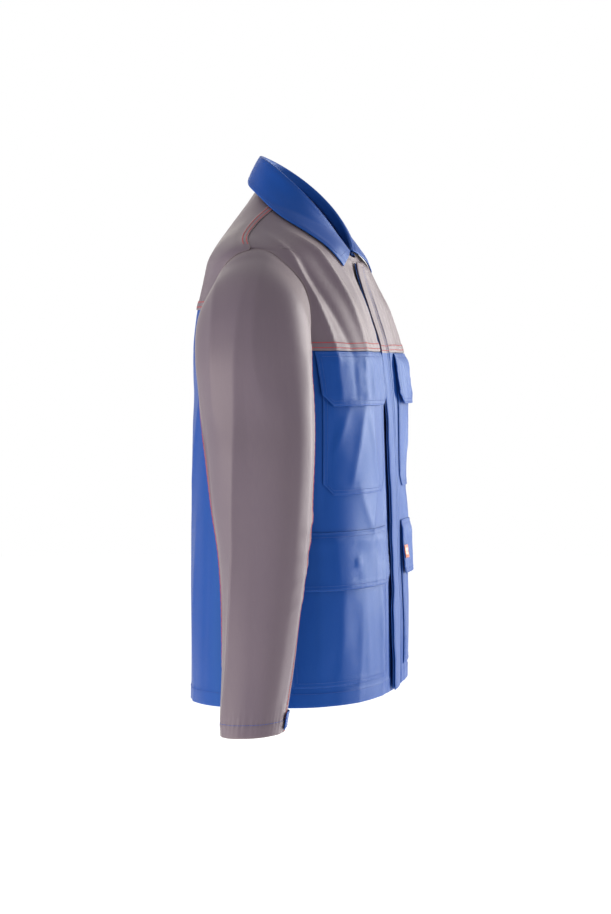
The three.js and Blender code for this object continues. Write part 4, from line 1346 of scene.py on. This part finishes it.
# %% Sleeve folds
# each fold: start and end (angle, way down), width, height, bow and how round its crest is
SLEEVE_FOLDS = [
    ((101, 110), (150, 640), 24, 7.5, 0, 0.8),
    ((158, 150), (166, 470), 14, -1.6, 2, 2.2),
    ((10, 110), (12, 620), 14, 2.4, 0, 4),
    ((-8, 130), (-8, 560), 18, -3.4, 0, 6),
    ((76, 8), (82, 150), 12, 1.8, 4, 2.2),
    ((140, 10), (134, 150), 10, 2.4, -6, 2.2),
    *(((6 * k - 70, z), (8 + 8 * k, z + 26), 10, 1.9 - 0.2 * k, 6, 2.2) for k, z in enumerate((292, 326, 362, 398))),
    ((20, 560), (16, 644), 12, 1.6, 0, 2.2),
    ((250, 380), (262, 620), 18, 2.0, 5, 2.2),
]
ROUND_SLEEVE = 378


def sleeve_drape(a, w, sign):
    """How far the sleeve's cloth stands off its form, at angle a and distance w down."""
    round_arm = np.radians(a)
    total = waves(60 * np.sin(round_arm) + 35 * np.cos(round_arm), w, 120 + sign, 70, 380, 0.9)
    for turn in (0, ROUND_SLEEVE, -ROUND_SLEEVE):
        for fold in SLEEVE_FOLDS:
            total = total + ridge(a * 1.05 - turn, w, *fold)
    return total * smoothstep(0, 20, w) * (0.35 + 0.65 * smoothstep(0, 26, SLEEVE_END - w))


def seam_angles(w):
    """The angles of the front and the back seam at distance w down: both lean out round the elbow."""
    front_seam = -6 - 9 * smoothstep(420, 320, w)
    back_seam = 184 - 20 * smoothstep(120, 230, w) * smoothstep(560, 440, w)
    return front_seam, back_seam


CUFF_HEM = 16.0
cuff_rows = SLEEVE_END - np.array([CUFF_HEM + 2, CUFF_HEM + 1, CUFF_HEM - 1, CUFF_HEM - 2.5, 9, 5, 1.8, 0.7, 0])
down_levels = np.concatenate([np.linspace(0, 150, 36), np.linspace(155, SLEEVE_END - 20, 92), cuff_rows])
CUFF_STITCH = -8
sleeve_levels = np.linspace(-SLEEVE_END, 0, 160)


def sleeve_cloth(name, side_name, lap):
    sign = SIDES[side_name]
    front_seam, back_seam = seam_angles(down_levels)
    first, last = (front_seam, back_seam) if lap else (back_seam, front_seam + 360)
    tape = Tape(sleeve_up, np.linspace(-20, 360, 381), sleeve_levels)
    levels = -down_levels
    offset = tape.distance(first, levels)
    length = tape.distance(last, levels) - offset
    d = spread(length, 3.6)
    inset = np.minimum(d, length[:, None] - d)
    a = tape.angle(d + offset[:, None], levels[:, None])
    if not lap:
        per_mm = ((last - first) / length)[:, None]
        a = a + TUCK * per_mm * np.where(d < length[:, None] / 2, -1, 1) * smoothstep(10, 0, inset)
    w = np.repeat(down_levels[:, None], a.shape[1], 1)
    points, out = sleeve_up(a, -w), normal(sleeve_up, a, -w)
    height = sleeve_drape(a, w, sign)
    if lap:
        height = height + 0.9 * smoothstep(11, 8, inset) + pucker(w, inset, 140 + sign, 0.3)
    else:
        height = height - 1.5 * smoothstep(4, 0, inset)
    height = height + 0.6 * smoothstep(CUFF_HEM + 1, CUFF_HEM - 2, SLEEVE_END - w)
    height = height + pucker(a, np.abs(SLEEVE_END - CUFF_HEM - w), 150 + sign, 0.35, 9)
    height = height + 1.4 * np.exp(-(((w - 9) / 8) ** 2))
    longer_behind = 5 * smoothstep(SLEEVE_END - 110, SLEEVE_END, w) * smoothstep(30, 140, a) * smoothstep(330, 190, a)
    points = points - np.array([0, 0, 1]) * longer_behind[..., None]
    under = [armhole_ring(a[0], grow, sink) for grow, sink in ((7, 2.6), (4, 2.2), (1.5, 1.6))]
    flip = np.array([sign, 1, 1])
    outer = (points + out * height[..., None]) * flip
    outer = np.concatenate([np.stack(under) * flip, outer])
    like = np.concatenate([np.repeat(out[:1], 3, 0), out]) * flip
    turned = grid_normals(outer, like)
    turned[:3] = turned[4]
    w_all = np.concatenate([np.repeat([[-9.0], [-5.0], [-2.0]], a.shape[1], 1), w])
    a_all = np.concatenate([np.repeat(a[:1], 3, 0), a])
    uv = np.stack([a_all * 1.05 * sign, -w_all], -1)
    keep_piece(f"{name}_cloth", outer, turned, CLOTH, uv, GREY, [name])


for side_name, sign in SIDES.items():
    sleeve_cloth(f"{side_name}_top_sleeve", side_name, True)
    sleeve_cloth(f"{side_name}_under_sleeve", side_name, False)
    key = f"{side_name}_sleeve"
    for inset in (FIRST_ROW, SECOND_ROW):
        for column in (inset, -1 - inset):
            stitch_line(f"{key} red", f"{side_name}_top_sleeve_cloth", column=column, start=4, stop=-1)
    for part in ("top", "under"):
        stitch_line(f"{key} blue", f"{side_name}_{part}_sleeve_cloth", row=CUFF_STITCH, start=1, stop=-1)
print("sleeves:", round(SLEEVE_END), "mm from the shoulder point to the cuff")

# %% [markdown]
# ## Cuff tabs
# A short blue tab is sewn to the inner side of each cuff and points forwards, so that only its end shows past the
# front seam. In the frame it lifts about its sewn end.

# %% Tabs
TAB_FROM, TAB_TO = -66.0, 6.0
for side_name, sign in SIDES.items():
    tape = Tape(sleeve_up, np.linspace(TAB_FROM, TAB_TO, 80), sleeve_levels)
    levels = -SLEEVE_END + 5 + spread(np.array([20.0]), 3.0, EDGE[:4], EDGE[:4])[0]
    length = tape.distance(TAB_TO, levels)
    d = spread(length, 3.2)
    a = tape.angle(d, levels[:, None])
    w = -np.repeat(levels[:, None], a.shape[1], 1)
    points, out = sleeve_up(a, -w), normal(sleeve_up, a, -w)
    curl = 1.2 * smoothstep(0.75, 1.0, d / length[:, None]) ** 2 + 0.8 * smoothstep(4, 14, d)
    height = sleeve_drape(a, w, sign) + 2.4 + curl
    flip = np.array([sign, 1, 1])
    uv = np.stack([d * sign, levels[:, None] + 0 * d], -1)
    name = f"{side_name}_tab"
    sew_piece(name, points * flip, out * flip, height, uv, BLUE, [f"{side_name}_cuff_tab"], 1.5)
    stitch_round(f"{side_name}_cuff_tab blue", name, FIRST_ROW, "DULR")
print("tabs:", TAB_TO - TAB_FROM, "degrees round the cuff")

# %% [markdown]
# ## Press studs
# Each stud is a turned steel button with a rolled rim and a hollow in its head, and each socket is a ring. All of
# one kind on one body are set out together by the same tree that sets out the stitches.

# %% Studs and sockets
STUD_RADIUS, FLY_STUD_HEIGHT, FLAP_STUD_HEIGHT = 5.6 * MM, 1.0 * MM, 0.7 * MM
STUD = [(0, -0.5), (0.96, -0.5), (1.0, -0.2), (0.97, 0.12), (0.86, 0.3), (0.62, 0.3), (0.52, 0.12), (0.42, 0.1)]
STUD += [(0.36, 0.42), (0.2, 0.5), (0, 0.5)]
SOCKET = [(0, 0.5), (0.96, 0.5), (0.98, 0.3), (0.9, 0.1), (0.78, -0.1), (0.7, -0.3), (0.56, -0.36), (0.42, -0.3)]
SOCKET += [(0.34, -0.1), (0.3, 0.2), (0, 0.2)]
stud_shape, socket_shape = lathe("stud_shape", STUD), lathe("socket_shape", SOCKET)


def stud_place(node):
    """A stud's middle and outward direction, from its CAD node: its disc's thin way."""
    mesh = frame["nodes"][node].data
    co = np.zeros(len(mesh.vertices) * 3)
    mesh.vertices.foreach_get("co", co)
    co = co.reshape(-1, 3) / MM
    centre = (co.max(0) + co.min(0)) / 2
    spread_of = np.linalg.svd(co - co.mean(0), full_matrices=False)[2]
    out = spread_of[-1] * (-1 if spread_of[-1] @ np.array([centre[0] * 0.3, centre[1], 0]) < 0 else 1)
    x, y, z = co.mean(0)
    u = math.degrees(math.atan2(abs(x), float(side(z)) - y))
    sign = -1 if x < 0 or node.startswith("right") else 1
    s = float(front_tape.distance(u, z))
    sunk = -2.3 if "pocket" in node or "flap" in node else -0.4
    lift = float(front_hollow(s, z) if node.startswith("fly") else front_drape(s, z, sign)) + sunk
    return co.mean(0) + out * lift, unit(np.cross(out, [0, 0, 1])), out


stud_groups = {"jacket_body": ([], stud_shape)}
for body_name, nodes_of in frame["record"]["behaviour"]["bodies"].items():
    for node in nodes_of:
        if "stud" in node or "socket" in node:
            shape = stud_shape if "stud" in node else socket_shape
            stud_groups.setdefault(body_name, ([], shape))[0].append(node)
for body_name, (names, shape) in stud_groups.items():
    rows = [tuple(np.array([x]) for x in stud_place(node)) for node in names]
    high = FLY_STUD_HEIGHT if "fly" in names[0] else FLAP_STUD_HEIGHT
    made = set_out(f"{body_name}_press_studs", rows, shape, (STUD_RADIUS, STUD_RADIUS, high), steel)
    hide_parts(*names)
    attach(made, body_name)
print("studs and sockets:", sum(len(g[0]) for g in stud_groups.values()))

# %% [markdown]
# ## Moving with the frame
# Each piece and each mesh of stitches is parented to the body of the frame that it follows. The fly, the flaps, the
# sleeves and the tabs are listed with where a bend across them would start and end, but nothing bends them here:
# what follows one of them only has its placing baked into its mesh and is not parented.

# %% What each piece follows
# where each bend starts and ends, in metres: across the fly, down from a flap's seam, and out along the raised arm
FLY_BEND, FLAP_BEND, SHOULDER_BEND = (0.033, 0.014), (0.002, 0.022), (0.286, 0.392)
bends = {}
for part in ("lower", "upper"):
    bends[f"fly_{part}"] = ("jacket_body", *((x, 0, 0) for x in FLY_BEND))
for side_name, sign in SIDES.items():
    for place, flap in (("chest", CHEST_FLAP), ("lower", LOWER_FLAP)):
        seam_z = flap["top"] * MM
        bends[f"{side_name}_{place}_flap"] = ("jacket_body", *((0, 0, seam_z - down) for down in FLAP_BEND))
    way = Vector((sign * 0.958, 0, -0.287))
    bends[f"{side_name}_sleeve"] = ("jacket_body", *(tuple(way * reach) for reach in SHOULDER_BEND))
    seam = pieces[f"{side_name}_tab"]["outer"] * MM
    a, b = seam[:, 2].mean(0), seam[:, 6].mean(0)
    bends[f"{side_name}_cuff_tab"] = (f"{side_name}_sleeve", tuple(a), tuple(b))

follows = {"tag_cloth_piece": "left_lower_flap"}
for name in pieces:
    if name.startswith("fly_"):
        follows[name] = name.rsplit("_", 1)[0]
    elif name.endswith("_flap_cloth"):
        follows[name] = name[: -len("_cloth")]
    elif "sleeve" in name:
        follows[name] = name.split("_")[0] + "_sleeve"
    elif name.endswith("_tab"):
        follows[name] = name.split("_")[0] + "_cuff_tab"


def follow(piece, body_name):
    if body_name in bends:
        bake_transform(piece)
    else:
        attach(piece, body_name)


for name, made in pieces.items():
    follow(made["object"], follows.get(name, "jacket_body"))

# %% Stitches as meshes
THREADS = {
    "red": ((3.1 * MM, 1.15 * MM, 0.7 * MM), red_thread),
    "blue": ((2.8 * MM, 0.75 * MM, 0.5 * MM), blue_thread),
}
one_stitch = bar_of_thread("one_stitch")
total = 0
for key, rows in stitch_rows.items():
    body_name, thread = key.split()
    size, finish = THREADS[thread]
    made = set_out(f"{body_name}_{thread}_stitches", rows, one_stitch, size, finish)
    follow(made, body_name)
    total += sum(len(r[0]) for r in rows)
print("stitches:", total, "in", len(stitch_rows), "meshes")

# %% Size and finish
low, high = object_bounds()
print("visual", [round(float(x) / MM) for x in high - low], "mm")
